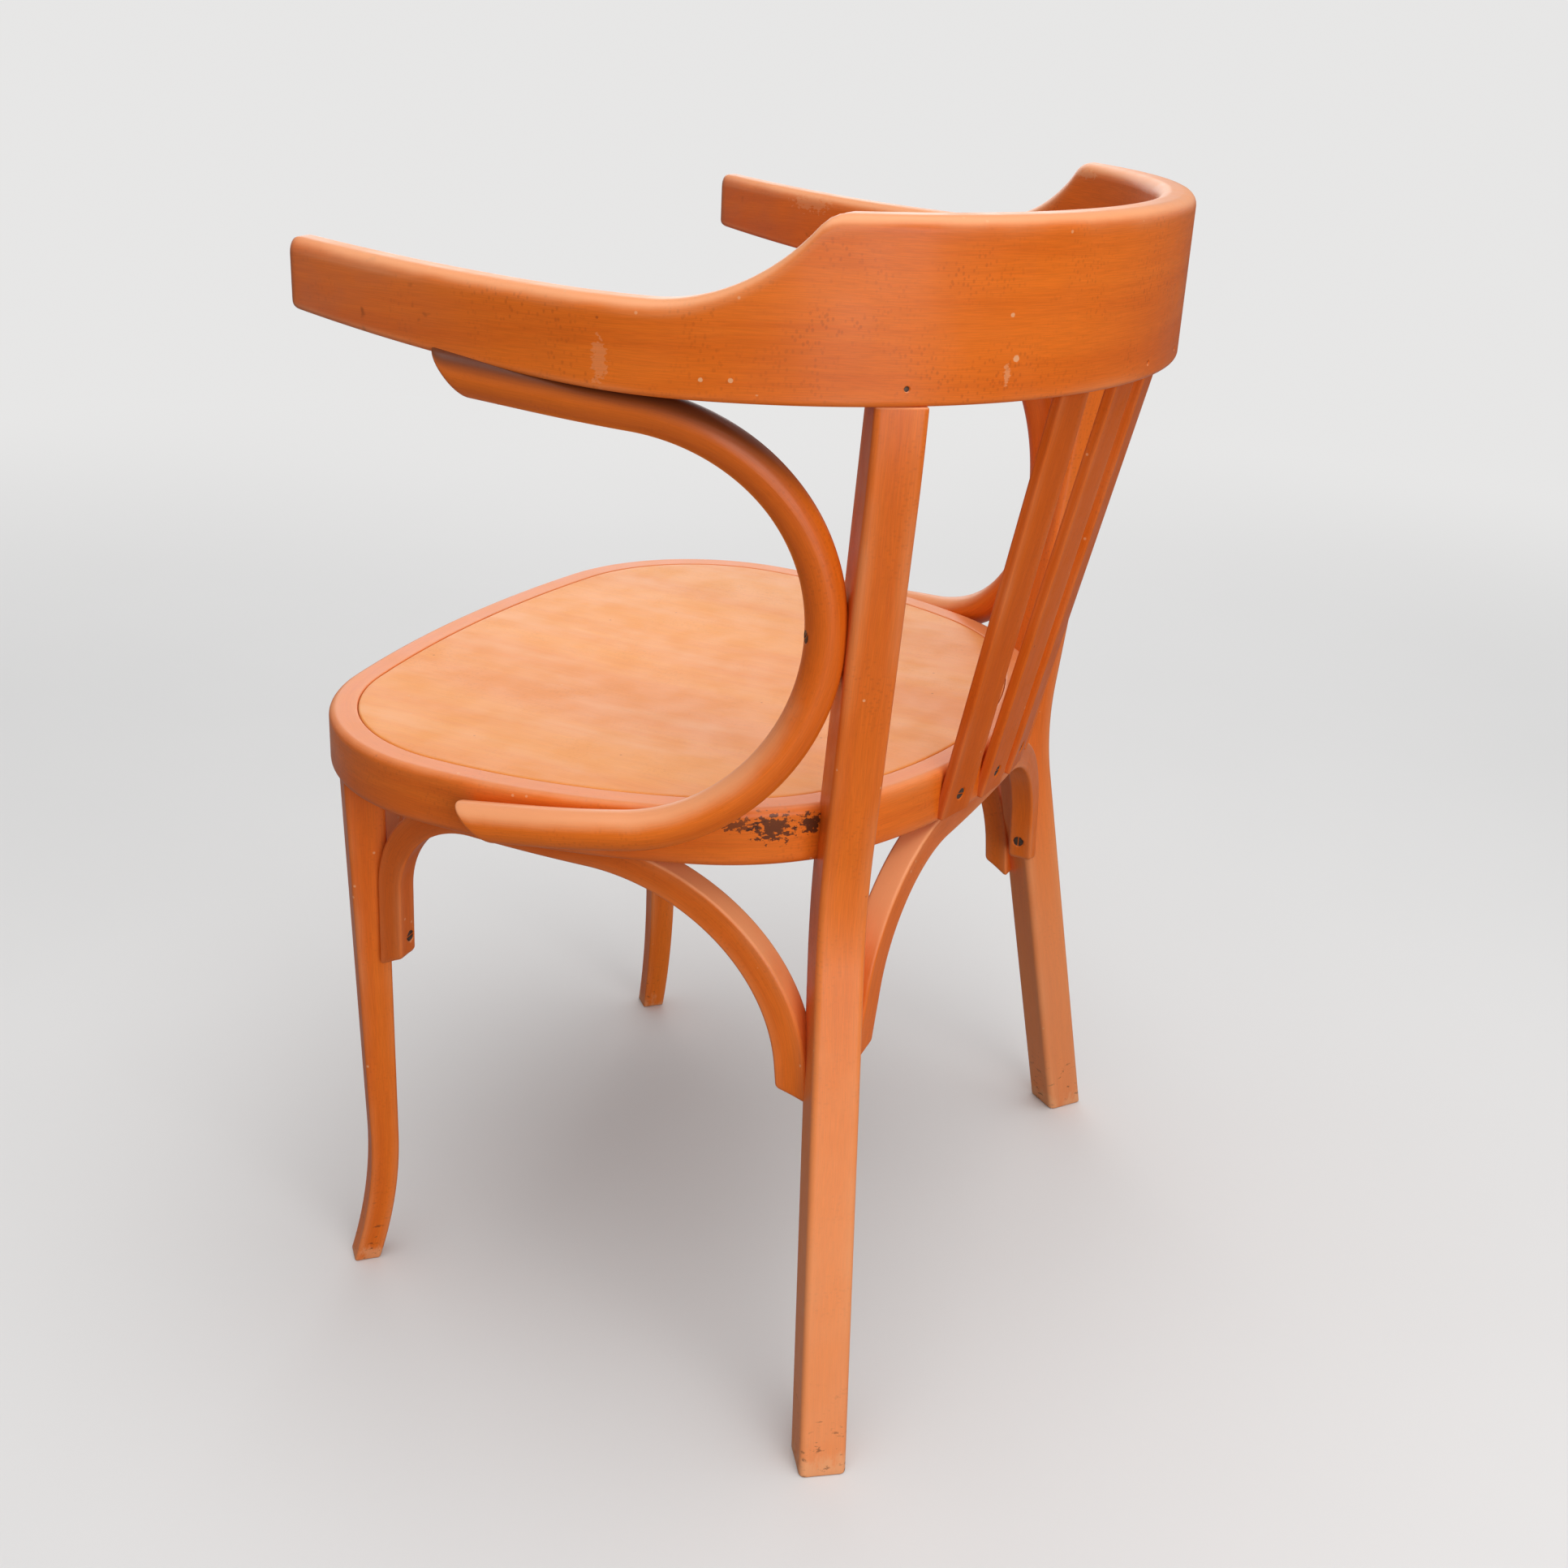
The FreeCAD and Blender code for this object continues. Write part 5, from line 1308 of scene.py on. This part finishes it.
def build_front_legs(chair, plan):
    legs = chair.legs
    section = box_section(legs.front_top / 2, legs.front_top / 2, legs.front_rounding)
    waist_slope = -legs.waist_inset / (RING_BOTTOM - legs.waist_height)
    kick = (legs.foot_kick + legs.waist_inset - waist_slope * legs.waist_height) / legs.waist_height ** 2

    def surface(u, v):
        """Level sections at heights u: straight down to the waist, then a parabola kicks the foot out."""
        a, b, wear = section.at(v)
        below = np.maximum(legs.waist_height - u, 0)
        out = waist_slope * (RING_BOTTOM - u) + kick * below ** 2
        above = (u - legs.waist_height) / (RING_BOTTOM - legs.waist_height)
        upper = legs.front_waist + (legs.front_top - legs.front_waist) * np.maximum(above, 0)
        lower = (legs.front_foot - legs.front_waist) * below / legs.waist_height
        thick = (upper + lower) / legs.front_top
        wide = (legs.front_foot + (legs.front_top - legs.front_foot) * u / RING_BOTTOM) / legs.front_top
        lean = -legs.lean * (RING_BOTTOM - u) / RING_BOTTOM
        along_out = out[:, None] + a[None, :] * thick[:, None]
        along_across = lean[:, None] + b[None, :] * wide[:, None]
        points = (plan.front_axis + plan.front_out * along_out[..., None]
                  + plan.front_across * along_across[..., None])
        points[..., 2] = u[:, None]
        return carried(points, u, a, b, wear)

    us = np.linspace(legs.foot_rounding, RING_BOTTOM + FRONT_SUNK, FRONT_ROWS)
    show_both_sides("front_post", "front_leg", surface, us, section, legs.foot_rounding, 12, "Leg Beech")


# Slats

SLAT_ROWS = 70


def build_slat(chair, plan, number, x):
    slats, seat = chair.slats, chair.seat
    foot = np.array((x, plan.rear[1] + math.sqrt(seat.rear_radius ** 2 - x * x), 0.0))
    out = unit(foot - plan.rear)
    axis = at_height(foot + out * (slats.thickness / 2 - slats.housing), RING_MIDDLE)
    reach = reach_circle(axis, out, plan.rail, plan.rail_middle - slats.inset)
    along = unit(out * reach + UP * (RAIL_UNDERSIDE - RING_MIDDLE))
    normal = unit(out - along * (out @ along))
    side = across(out)
    section = box_section(slats.thickness / 2, slats.width / 2, slats.rounding)

    def surface(u, v):
        """A straight board: the section carried along the raked axis."""
        a, b, wear = section.at(v)
        points = (axis + along * u[:, None, None] + normal * a[None, :, None] + side * b[None, :, None])
        return carried(points, u, a, b, wear)

    top = (RAIL_UNDERSIDE - RING_MIDDLE) / along[2] + slats.tenon
    us = np.linspace(-slats.foot_drop + slats.rounding, top - slats.rounding, SLAT_ROWS)
    name = "slat_%d" % number
    show_piece(name, "back_" + name, surface, us, section, slats.rounding, 16 + number, "Slat Beech")


# Arm loops

LOOP_SLANT = 2.4
LOOP_ROWS = 190
LOOP_END_ROWS = 14
LOOP_CORNER_STEPS = 9
TANGENT_STEP = 1e-4
HALVINGS = 50
END_WEAR = 0.004


class LoopLine:
    """The loop's axis: a plan line bent inwards, carrying an upper run, a half circle and a lower run."""

    def __init__(self, chair, plan):
        loops, seat, legs = chair.loops, chair.seat, chair.legs
        self.loops = loops
        self.radius = loops.diameter / 2
        turn_now = math.asin((FRONT_Y + loops.seat_back - plan.side[1]) / seat.side_radius)
        self.out = heading(turn_now)
        self.along = across(self.out)
        self.start = plan.side + self.out * (seat.side_radius + self.radius - loops.hoop_housing)
        self.low = SEAT_TOP - loops.seat_drop
        self.high = float(arm_side_view(chair.rail)[1](self.start[1])) - self.radius + loops.rail_housing
        arm = plan.rail + heading(chair.rail.flare) * plan.rail_middle
        arm_x = arm[0] + (arm[1] - self.start[1]) * math.tan(chair.rail.flare)
        self.lean = arm_x + loops.rail_offset - self.start[0]
        self.slope = math.tan(loops.tilt)
        self.middle = (self.high + self.low) / 2
        self.centre = self.find_centre(plan, legs)
        self.bend = self.bend_at(self.centre)
        self.join = self.centre + self.bend * math.sin(loops.tilt)

    def place(self, s, z):
        """Point at plan length s and height z, leaning in from hoop to arm."""
        loops = self.loops
        turned = np.maximum(s - loops.straight, 0) / loops.plan_radius
        ahead = np.minimum(s, loops.straight) + loops.plan_radius * np.sin(turned)
        inward = loops.plan_radius * (1 - np.cos(turned))
        points = (self.start + self.along * np.asarray(ahead)[..., None]
                  - self.out * np.asarray(inward)[..., None])
        lean = self.lean * (z - self.low) / (self.high - self.low)
        return np.stack((points[..., 0] + lean, points[..., 1], np.broadcast_to(z, points.shape[:-1])), -1)

    def bend_at(self, centre):
        """Radius of a bend about the given centre that is tangent to both runs."""
        return ((self.high - self.low) / 2 - centre * self.slope) * math.cos(self.loops.tilt)

    def find_centre(self, plan, legs):
        """Place of the bend's middle at which the loop bears on the rear leg, found by halving."""
        face = -plan.rear_across
        want = legs.rear_side / 2 + self.radius - self.loops.leg_housing
        post = plan.rear_leg_middle(self.middle, legs)
        low, high = -self.high, self.high
        for _ in range(HALVINGS):
            centre = (low + high) / 2
            rear = self.place(np.float64(centre + self.bend_at(centre)), self.middle)
            if (rear - post) @ face > want:
                low = centre
            else:
                high = centre
        return low

    def spans(self):
        """Lengths of the upper run, the bend and the lower run."""
        run = math.cos(self.loops.tilt)
        return ((self.join + self.loops.top_reach) / run, (math.pi - 2 * self.loops.tilt) * self.bend,
                (self.join + self.loops.bottom_reach) / run)

    def axis(self, u):
        """Axis at length u from the upper end."""
        upper, bent, _ = self.spans()
        tilt = self.loops.tilt
        turned = np.clip(u - upper, 0, bent) / self.bend + tilt
        out = np.maximum(upper - u, 0) + np.maximum(u - upper - bent, 0)
        s = self.centre + self.bend * np.sin(turned) - out * math.cos(tilt)
        spread = np.where(u < upper, out, -out) * math.sin(tilt)
        return self.place(s, self.middle + self.bend * np.cos(turned) + spread)


def build_arm_loops(chair, plan):
    line = LoopLine(chair, plan)
    loops = chair.loops
    r = line.radius
    section = box_section(r, r, r * 0.999, 0.01, LOOP_CORNER_STEPS)
    total = sum(line.spans())
    slant = LOOP_SLANT * loops.diameter

    def surface(u, v):
        """A round section square to the axis; near each end it is sheared until the end is on the slant."""
        a, b, _ = section.at(v)
        middle = line.axis(u)
        tangent = unit(line.axis(u + TANGENT_STEP) - line.axis(u - TANGENT_STEP))
        side = unit(np.cross(tangent, np.cross(plan_normal(line, u), tangent)))
        other = np.cross(tangent, side)
        offset = side[:, None, :] * a[None, :, None] + other[:, None, :] * b[None, :, None]
        first = np.clip(1 - u / slant, 0, 1)[:, None]
        last = np.clip(1 - (total - u) / slant, 0, 1)[:, None]
        shear = offset[..., 2] * (first - last)
        points = middle[:, None, :] + offset - tangent[:, None, :] * shear[..., None]
        return carried(points, u, a, b, np.exp(-np.minimum(u, total - u) / END_WEAR)[:, None])

    ends = loops.end_rounding
    near_end = np.linspace(ends, slant, LOOP_END_ROWS)[:-1]
    us = np.concatenate((near_end, np.linspace(slant, total - slant, LOOP_ROWS), total - near_end[::-1]))
    show_both_sides("arm_hoop", "arm_loop", surface, us, section, ends, 24, "Loop Beech")


def plan_normal(line, u):
    """Outward level direction beside the loop, square to its plan line."""
    here = line.axis(u)
    s = (here - line.start) @ line.along
    turned = np.maximum(s - line.loops.straight, 0) / line.loops.plan_radius
    return line.out * np.cos(turned)[:, None] + line.along * np.sin(turned)[:, None]


# Braces


class BraceEnd:
    """Where a brace ends on a leg: the leg's corner, the fall of the leg, the end's height and its bend."""

    def __init__(self, corner, fall, height, bend):
        self.corner = corner
        self.fall = fall
        self.height = height
        self.bend = bend

    def mirrored(self):
        return BraceEnd(self.corner * MIRROR, self.fall * MIRROR, self.height, self.bend)


BRACE_ROWS = 130
LEAST_SAG = 1e-6
# The two inner corners of a square leg, from its bearing
INNER_CORNER_A = math.radians(135)
INNER_CORNER_B = math.radians(225)


def leg_corner(middle, half, rounding, angle):
    """Rounded corner of a square leg in a level direction."""
    return middle + heading(angle) * (half * math.sqrt(2) - rounding * (math.sqrt(2) - 1))


def rear_end(chair, plan, height, bend, corner_turn):
    legs = chair.legs
    middle = plan.rear_leg_middle(height + chair.braces.seat_rise, legs)
    corner = leg_corner(middle, legs.rear_side / 2, legs.rear_rounding, legs.rear_bearing + corner_turn)
    return BraceEnd(corner, plan.rear_descent, height, bend)


def front_end(chair, plan, height, bend, corner_turn):
    legs = chair.legs
    z = height + chair.braces.seat_rise
    below = (RING_BOTTOM - z) / (RING_BOTTOM - legs.waist_height)
    half = (legs.front_top + (legs.front_waist - legs.front_top) * below) / 2
    corner = leg_corner(plan.front_leg_middle(z, legs), half, legs.front_rounding,
                        legs.front_bearing + corner_turn)
    return BraceEnd(corner, plan.front_across * (-legs.lean / RING_BOTTOM), height, bend)


class BraceLine:
    """Middle line of a brace: up one leg, round a bend, along under the hoop, round a bend and down."""

    def __init__(self, first, second, crown, braces):
        flat = (second.corner - first.corner) * (1, 1, 0)
        self.along = unit(flat)
        self.perp = across(self.along)
        self.origin = (first.corner + second.corner) / 2 * (1, 1, 0)
        self.half_chord = np.linalg.norm(flat) / 2
        self.sag = (crown - self.origin) @ self.perp
        self.lines = [self.end_line(end, side, braces) for end, side in ((first, -1), (second, 1))]
        self.parts = self.lay_out()

    def end_line(self, end, side, braces):
        """Centre of the bend, slope of the leg part, and radius of the middle line."""
        place = (end.corner - self.origin) @ self.along + side * braces.bite
        slope = math.atan(end.fall @ self.along * side)
        centre_z = RING_BOTTOM - end.bend
        foot_z = centre_z + end.bend * math.sin(slope)
        reach = end.bend * math.cos(slope) - (end.corner[2] - foot_z) * math.tan(slope)
        radius = end.bend - braces.thickness / 2
        drop = centre_z + radius * math.sin(slope) - end.height
        return place - side * reach, centre_z, slope, radius, drop / math.cos(slope), side

    def lay_out(self):
        """Lengths of the five parts of the line."""
        first, second = self.lines
        bends = [line[3] * (math.pi / 2 - line[2]) for line in self.lines]
        return [first[4], bends[0], second[0] - first[0], bends[1], second[4]]

    def at(self, u):
        """Local along place, height, and tangent angle at lengths u."""
        ends = np.cumsum([0] + self.parts)
        first, second = self.lines
        t = [np.clip(u - ends[k], 0, self.parts[k]) for k in range(5)]
        under = np.minimum(u, 0)
        over = np.maximum(u - ends[-1], 0)
        x, z, angle = self.rise(first, t[0] + under - self.parts[0], t[1])
        x2, z2, angle2 = self.rise(second, -t[4] - over, self.parts[3] - t[3])
        on_first = u < ends[2]
        on_crown = (u >= ends[2]) & (u <= ends[3])
        crown_x = first[0] + t[2]
        crown_z = first[1] + first[3] + (second[1] + second[3] - first[1] - first[3]) * t[2] / self.parts[2]
        x = np.where(on_first, x, np.where(on_crown, crown_x, x2))
        z = np.where(on_first, z, np.where(on_crown, crown_z, z2))
        angle = np.where(on_first, angle, np.where(on_crown, math.pi / 2, angle2))
        return x, z, angle

    @staticmethod
    def rise(line, below, round_it):
        """A leg part (below is 0 at its top, negative down it) and then its bend."""
        centre, centre_z, slope, radius, _, side = line
        turned = slope + round_it / radius
        x = centre + side * radius * np.cos(turned) - side * below * math.sin(slope)
        z = centre_z + radius * np.sin(turned) + below * math.cos(slope)
        return x, z, np.where(side < 0, turned, math.pi - turned)

    def bow(self, x):
        """Sideways place on the circle through both ends and the crown, and its slope."""
        if abs(self.sag) < LEAST_SAG:
            return np.zeros_like(x), np.zeros_like(x)
        radius = (self.half_chord ** 2 + self.sag ** 2) / (2 * abs(self.sag))
        root = np.sqrt(radius ** 2 - x ** 2)
        return np.sign(self.sag) * (root - radius + abs(self.sag)), -np.sign(self.sag) * x / root


def brace_surface(line, section, braces):
    total = sum(line.parts)

    def surface(u, v):
        """The section square to the arch's line, bowed sideways in plan and drawn to a slant at each end."""
        a, b, wear = section.at(v)
        x, z, angle = line.at(u)
        sine, cosine = np.sin(angle)[:, None], np.cos(angle)[:, None]
        first = np.clip(1 - u / (2 * braces.slant), 0, 1)
        last = np.clip(1 - (total - u) / (2 * braces.slant), 0, 1)
        drawn = (first ** 2 - last ** 2)[:, None] * braces.slant * (0.5 - a / braces.thickness)
        px = x[:, None] - a[None, :] * cosine + drawn * sine
        pz = z[:, None] + a[None, :] * sine + drawn * cosine
        bow, slope = line.bow(px)
        side = bow - b[None, :] * np.sqrt(1 + slope ** 2)
        points = line.origin + line.along * px[..., None] + line.perp * side[..., None]
        points[..., 2] = pz
        return carried(points, u, a, b, wear)
    return surface


def build_braces(chair, plan):
    braces = chair.braces
    section = box_section(braces.thickness / 2, braces.width / 2, braces.rounding)
    front = front_end(chair, plan, braces.side_front_end, braces.side_front_bend, INNER_CORNER_A)
    rear = rear_end(chair, plan, braces.side_rear_end, braces.side_rear_bend, INNER_CORNER_B)
    middle = (front.corner + rear.corner) / 2
    crown = plan.side + heading(bearing(plan.side, middle)) * (chair.seat.side_radius - braces.side_inset)
    ends = braces.end_rounding
    line = BraceLine(front, rear, crown, braces)
    us = np.linspace(ends, sum(line.parts) - ends, BRACE_ROWS)
    show_both_sides("side_arch", "side_brace", brace_surface(line, section, braces), us, section, ends, 30,
                    "Stained Beech")
    rear = rear_end(chair, plan, braces.rear_end, braces.cross_bend, INNER_CORNER_A)
    front = front_end(chair, plan, braces.front_end, braces.cross_bend, INNER_CORNER_B)
    crosses = (("rear_arch", "rear_brace", rear, rear.corner[1] + braces.rear_bow),
               ("front_arch", "front_brace", front, FRONT_Y + braces.front_inset))
    for number, (name, node, end, crown_y) in enumerate(crosses):
        line = BraceLine(end.mirrored(), end, np.array((0.0, crown_y, 0.0)), braces)
        us = np.linspace(ends, sum(line.parts) - ends, BRACE_ROWS)
        show_piece(name, node, brace_surface(line, section, braces), us, section, ends, 34 + number,
                   "Stained Beech")


# Stage


SENSOR = 36.0
FLOOR_CELLS = 8
FLOOR_ROUGHNESS = 0.9
SKY_COLOUR = (0.96, 0.98, 1.0, 1.0)
LAMP_TARGET = np.array((0.0, 0.0, 0.4))


def set_axes(thing, right, back, place):
    """Stand an object at a place, with its X along right and its Z along back."""
    matrix = np.eye(4)
    matrix[:3, :3] = np.stack((right, np.cross(back, right), back), 1)
    matrix[:3, 3] = place
    thing.matrix_world = Matrix(matrix.tolist())


def build_camera(stage):
    data = bpy.data.cameras.new("Camera")
    data.sensor_width = SENSOR
    data.lens = stage.lens
    camera = linked("Camera", data)
    back = np.array((math.sin(stage.around) * math.cos(stage.down),
                     math.cos(stage.around) * math.cos(stage.down), math.sin(stage.down)))
    right = unit(np.cross(-back, UP))
    upward = np.cross(right, -back)
    rolled_right = math.cos(stage.roll) * right + math.sin(stage.roll) * upward
    set_axes(camera, rolled_right, back, stage.camera)
    bpy.context.scene.camera = camera


def build_floor(stage, tones):
    """A level square, pale and faintly mottled, that fades into the background for the camera."""
    reach = stage.floor_reach
    lines = FLOOR_CELLS + 1
    side = np.linspace(-reach, reach, lines)
    points = np.stack(np.broadcast_arrays(side[:, None], side[None, :], 0.0), -1).reshape(-1, 3)
    first = (np.arange(FLOOR_CELLS)[:, None] * lines + np.arange(FLOOR_CELLS)).ravel()
    faces = np.stack((first, first + lines, first + lines + 1, first + 1), 1)
    mesh = bpy.data.meshes.new("floor")
    mesh.from_pydata(points.tolist(), [], faces.tolist())
    floor = linked("floor", mesh)
    material = bpy.data.materials.new("Pale Floor")
    material.use_nodes = True
    nodes = Nodes(material.node_tree)
    shader = material.node_tree.nodes["Principled BSDF"]
    place = nodes.add("ShaderNodeTexCoord").outputs["Object"]
    cloud = nodes.ramp(nodes.noise(place, (1.5, 1.5, 1.5), 3.0), 0.3, 0.7, 0.98, 1.0)
    seen = nodes.add("ShaderNodeLightPath").outputs["Is Camera Ray"]
    plain = nodes.mix(seen, tones.bounce, tones.floor)
    nodes.feed(shader.inputs["Base Color"], nodes.mix(1.0, plain, nodes.grey(cloud), "MULTIPLY"))
    shader.inputs["Roughness"].default_value = FLOOR_ROUGHNESS
    far = nodes.length(place)
    fade = nodes.times(nodes.ramp(far, stage.fade_from, stage.fade_to), seen)
    glow = nodes.add("ShaderNodeEmission", {"Color": tones.backdrop, "Strength": 1.0})
    blend = nodes.add("ShaderNodeMixShader", {0: fade, 1: shader.outputs[0], 2: glow.outputs[0]})
    nodes.feed(material.node_tree.nodes["Material Output"].inputs["Surface"], blend.outputs[0])
    mesh.materials.append(material)


def soft_lamp(name, power, size, place):
    data = bpy.data.lights.new(name, "AREA")
    data.shape = "DISK"
    data.energy = power
    data.size = size
    lamp = linked(name, data)
    back = unit(np.array(place) - LAMP_TARGET)
    set_axes(lamp, unit(np.cross(UP, back)), back, place)
    lamp.visible_camera = False


def build_light(stage, tones):
    """Even light all round, three soft lamps, and a plain background for the camera."""
    world = bpy.data.worlds.new("Even Light")
    bpy.context.scene.world = world
    world.use_nodes = True
    nodes = Nodes(world.node_tree)
    even = world.node_tree.nodes["Background"]
    even.inputs["Color"].default_value = SKY_COLOUR
    even.inputs["Strength"].default_value = stage.sky
    plain = nodes.add("ShaderNodeBackground", {"Color": tones.backdrop, "Strength": 1.0})
    seen = nodes.add("ShaderNodeLightPath").outputs["Is Camera Ray"]
    blend = nodes.add("ShaderNodeMixShader", {0: seen, 1: even.outputs[0], 2: plain.outputs[0]})
    nodes.feed(world.node_tree.nodes["World Output"].inputs["Surface"], blend.outputs[0])
    for name, power, size, place in (("key", stage.key, 4.0, (0.3, 0.5, 3.4)),
                                     ("fill", stage.fill, 2.4, (2.0, 2.5, 1.0)),
                                     ("rim", stage.rim, 2.4, (-2.6, -1.6, 1.5))):
        soft_lamp(name, power, size, place)
    bpy.context.scene.view_settings.view_transform = "Standard"


# Operators


class CHAIR_OT_rail(bpy.types.Operator):
    """Build the board bent into back and arms"""

    bl_idname = "chair.rail"
    bl_label = "Bent Rail"

    def execute(self, context):
        chair = settings()
        build_rail(chair, Plan(chair))
        return {"FINISHED"}


class CHAIR_OT_seat(bpy.types.Operator):
    """Build the seat's hoop and its board"""

    bl_idname = "chair.seat"
    bl_label = "Seat"

    def execute(self, context):
        chair = settings()
        plan = Plan(chair)
        build_hoop(chair, plan)
        build_board(chair, plan)
        return {"FINISHED"}


class CHAIR_OT_legs(bpy.types.Operator):
    """Build the rear legs with their posts, and the front legs"""

    bl_idname = "chair.legs"
    bl_label = "Legs"

    def execute(self, context):
        chair = settings()
        plan = Plan(chair)
        build_rear_legs(chair, plan)
        build_front_legs(chair, plan)
        return {"FINISHED"}


class CHAIR_OT_slats(bpy.types.Operator):
    """Build the slats of the back"""

    bl_idname = "chair.slats"
    bl_label = "Slats"

    def execute(self, context):
        chair = settings()
        plan = Plan(chair)
        count = chair.slats.count
        for k in range(count):
            build_slat(chair, plan, k + 1, chair.slats.pitch * (k - (count - 1) / 2))
        return {"FINISHED"}


class CHAIR_OT_loops(bpy.types.Operator):
    """Build the rods bent into arm loops"""

    bl_idname = "chair.loops"
    bl_label = "Arm Loops"

    def execute(self, context):
        chair = settings()
        build_arm_loops(chair, Plan(chair))
        return {"FINISHED"}


class CHAIR_OT_braces(bpy.types.Operator):
    """Build the arched braces under the hoop"""

    bl_idname = "chair.braces"
    bl_label = "Braces"

    def execute(self, context):
        chair = settings()
        build_braces(chair, Plan(chair))
        return {"FINISHED"}


class CHAIR_OT_fixings(bpy.types.Operator):
    """Give the screws, washers and pins their dull steel"""

    bl_idname = "chair.fixings"
    bl_label = "Fixings"

    def execute(self, context):
        for name in SCREW_NODES + ("rear_leg_screws", "rear_leg_washers"):
            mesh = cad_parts[name].data
            mesh.materials.clear()
            mesh.materials.append(steel_material())
        return {"FINISHED"}


class CHAIR_OT_stage(bpy.types.Operator):
    """Set up the camera, the floor and the light"""

    bl_idname = "chair.stage"
    bl_label = "Stage"

    def execute(self, context):
        chair = settings()
        build_camera(chair.stage)
        build_floor(chair.stage, chair.finish)
        build_light(chair.stage, chair.finish)
        return {"FINISHED"}


OPERATORS = (CHAIR_OT_rail, CHAIR_OT_seat, CHAIR_OT_legs, CHAIR_OT_slats, CHAIR_OT_loops, CHAIR_OT_braces,
             CHAIR_OT_fixings, CHAIR_OT_stage)


class CHAIR_PT_panel(bpy.types.Panel):
    """Buttons for each group of pieces"""

    bl_idname = "CHAIR_PT_panel"
    bl_label = "Bentwood Armchair"
    bl_space_type = "VIEW_3D"
    bl_region_type = "UI"
    bl_category = "Chair"

    def draw(self, context):
        for operator in OPERATORS:
            self.layout.operator(operator.bl_idname)


GROUPS = (SeatSizes, RailSizes, LegSizes, SlatSizes, LoopSizes, BraceSizes, FinishColours, StageSizes,
          ChairSettings)


def register():
    for kind in GROUPS + OPERATORS + (CHAIR_PT_panel,):
        bpy.utils.register_class(kind)
    bpy.types.Scene.bentwood_chair = bpy.props.PointerProperty(type=ChairSettings)


def unregister():
    del bpy.types.Scene.bentwood_chair
    for kind in reversed(GROUPS + OPERATORS + (CHAIR_PT_panel,)):
        bpy.utils.unregister_class(kind)


def main():
    register()
    bpy.ops.chair.rail()
    bpy.ops.chair.seat()
    bpy.ops.chair.legs()
    bpy.ops.chair.slats()
    bpy.ops.chair.loops()
    bpy.ops.chair.braces()
    bpy.ops.chair.fixings()
    bpy.ops.chair.stage()


if __name__ == "__main__":
    main()
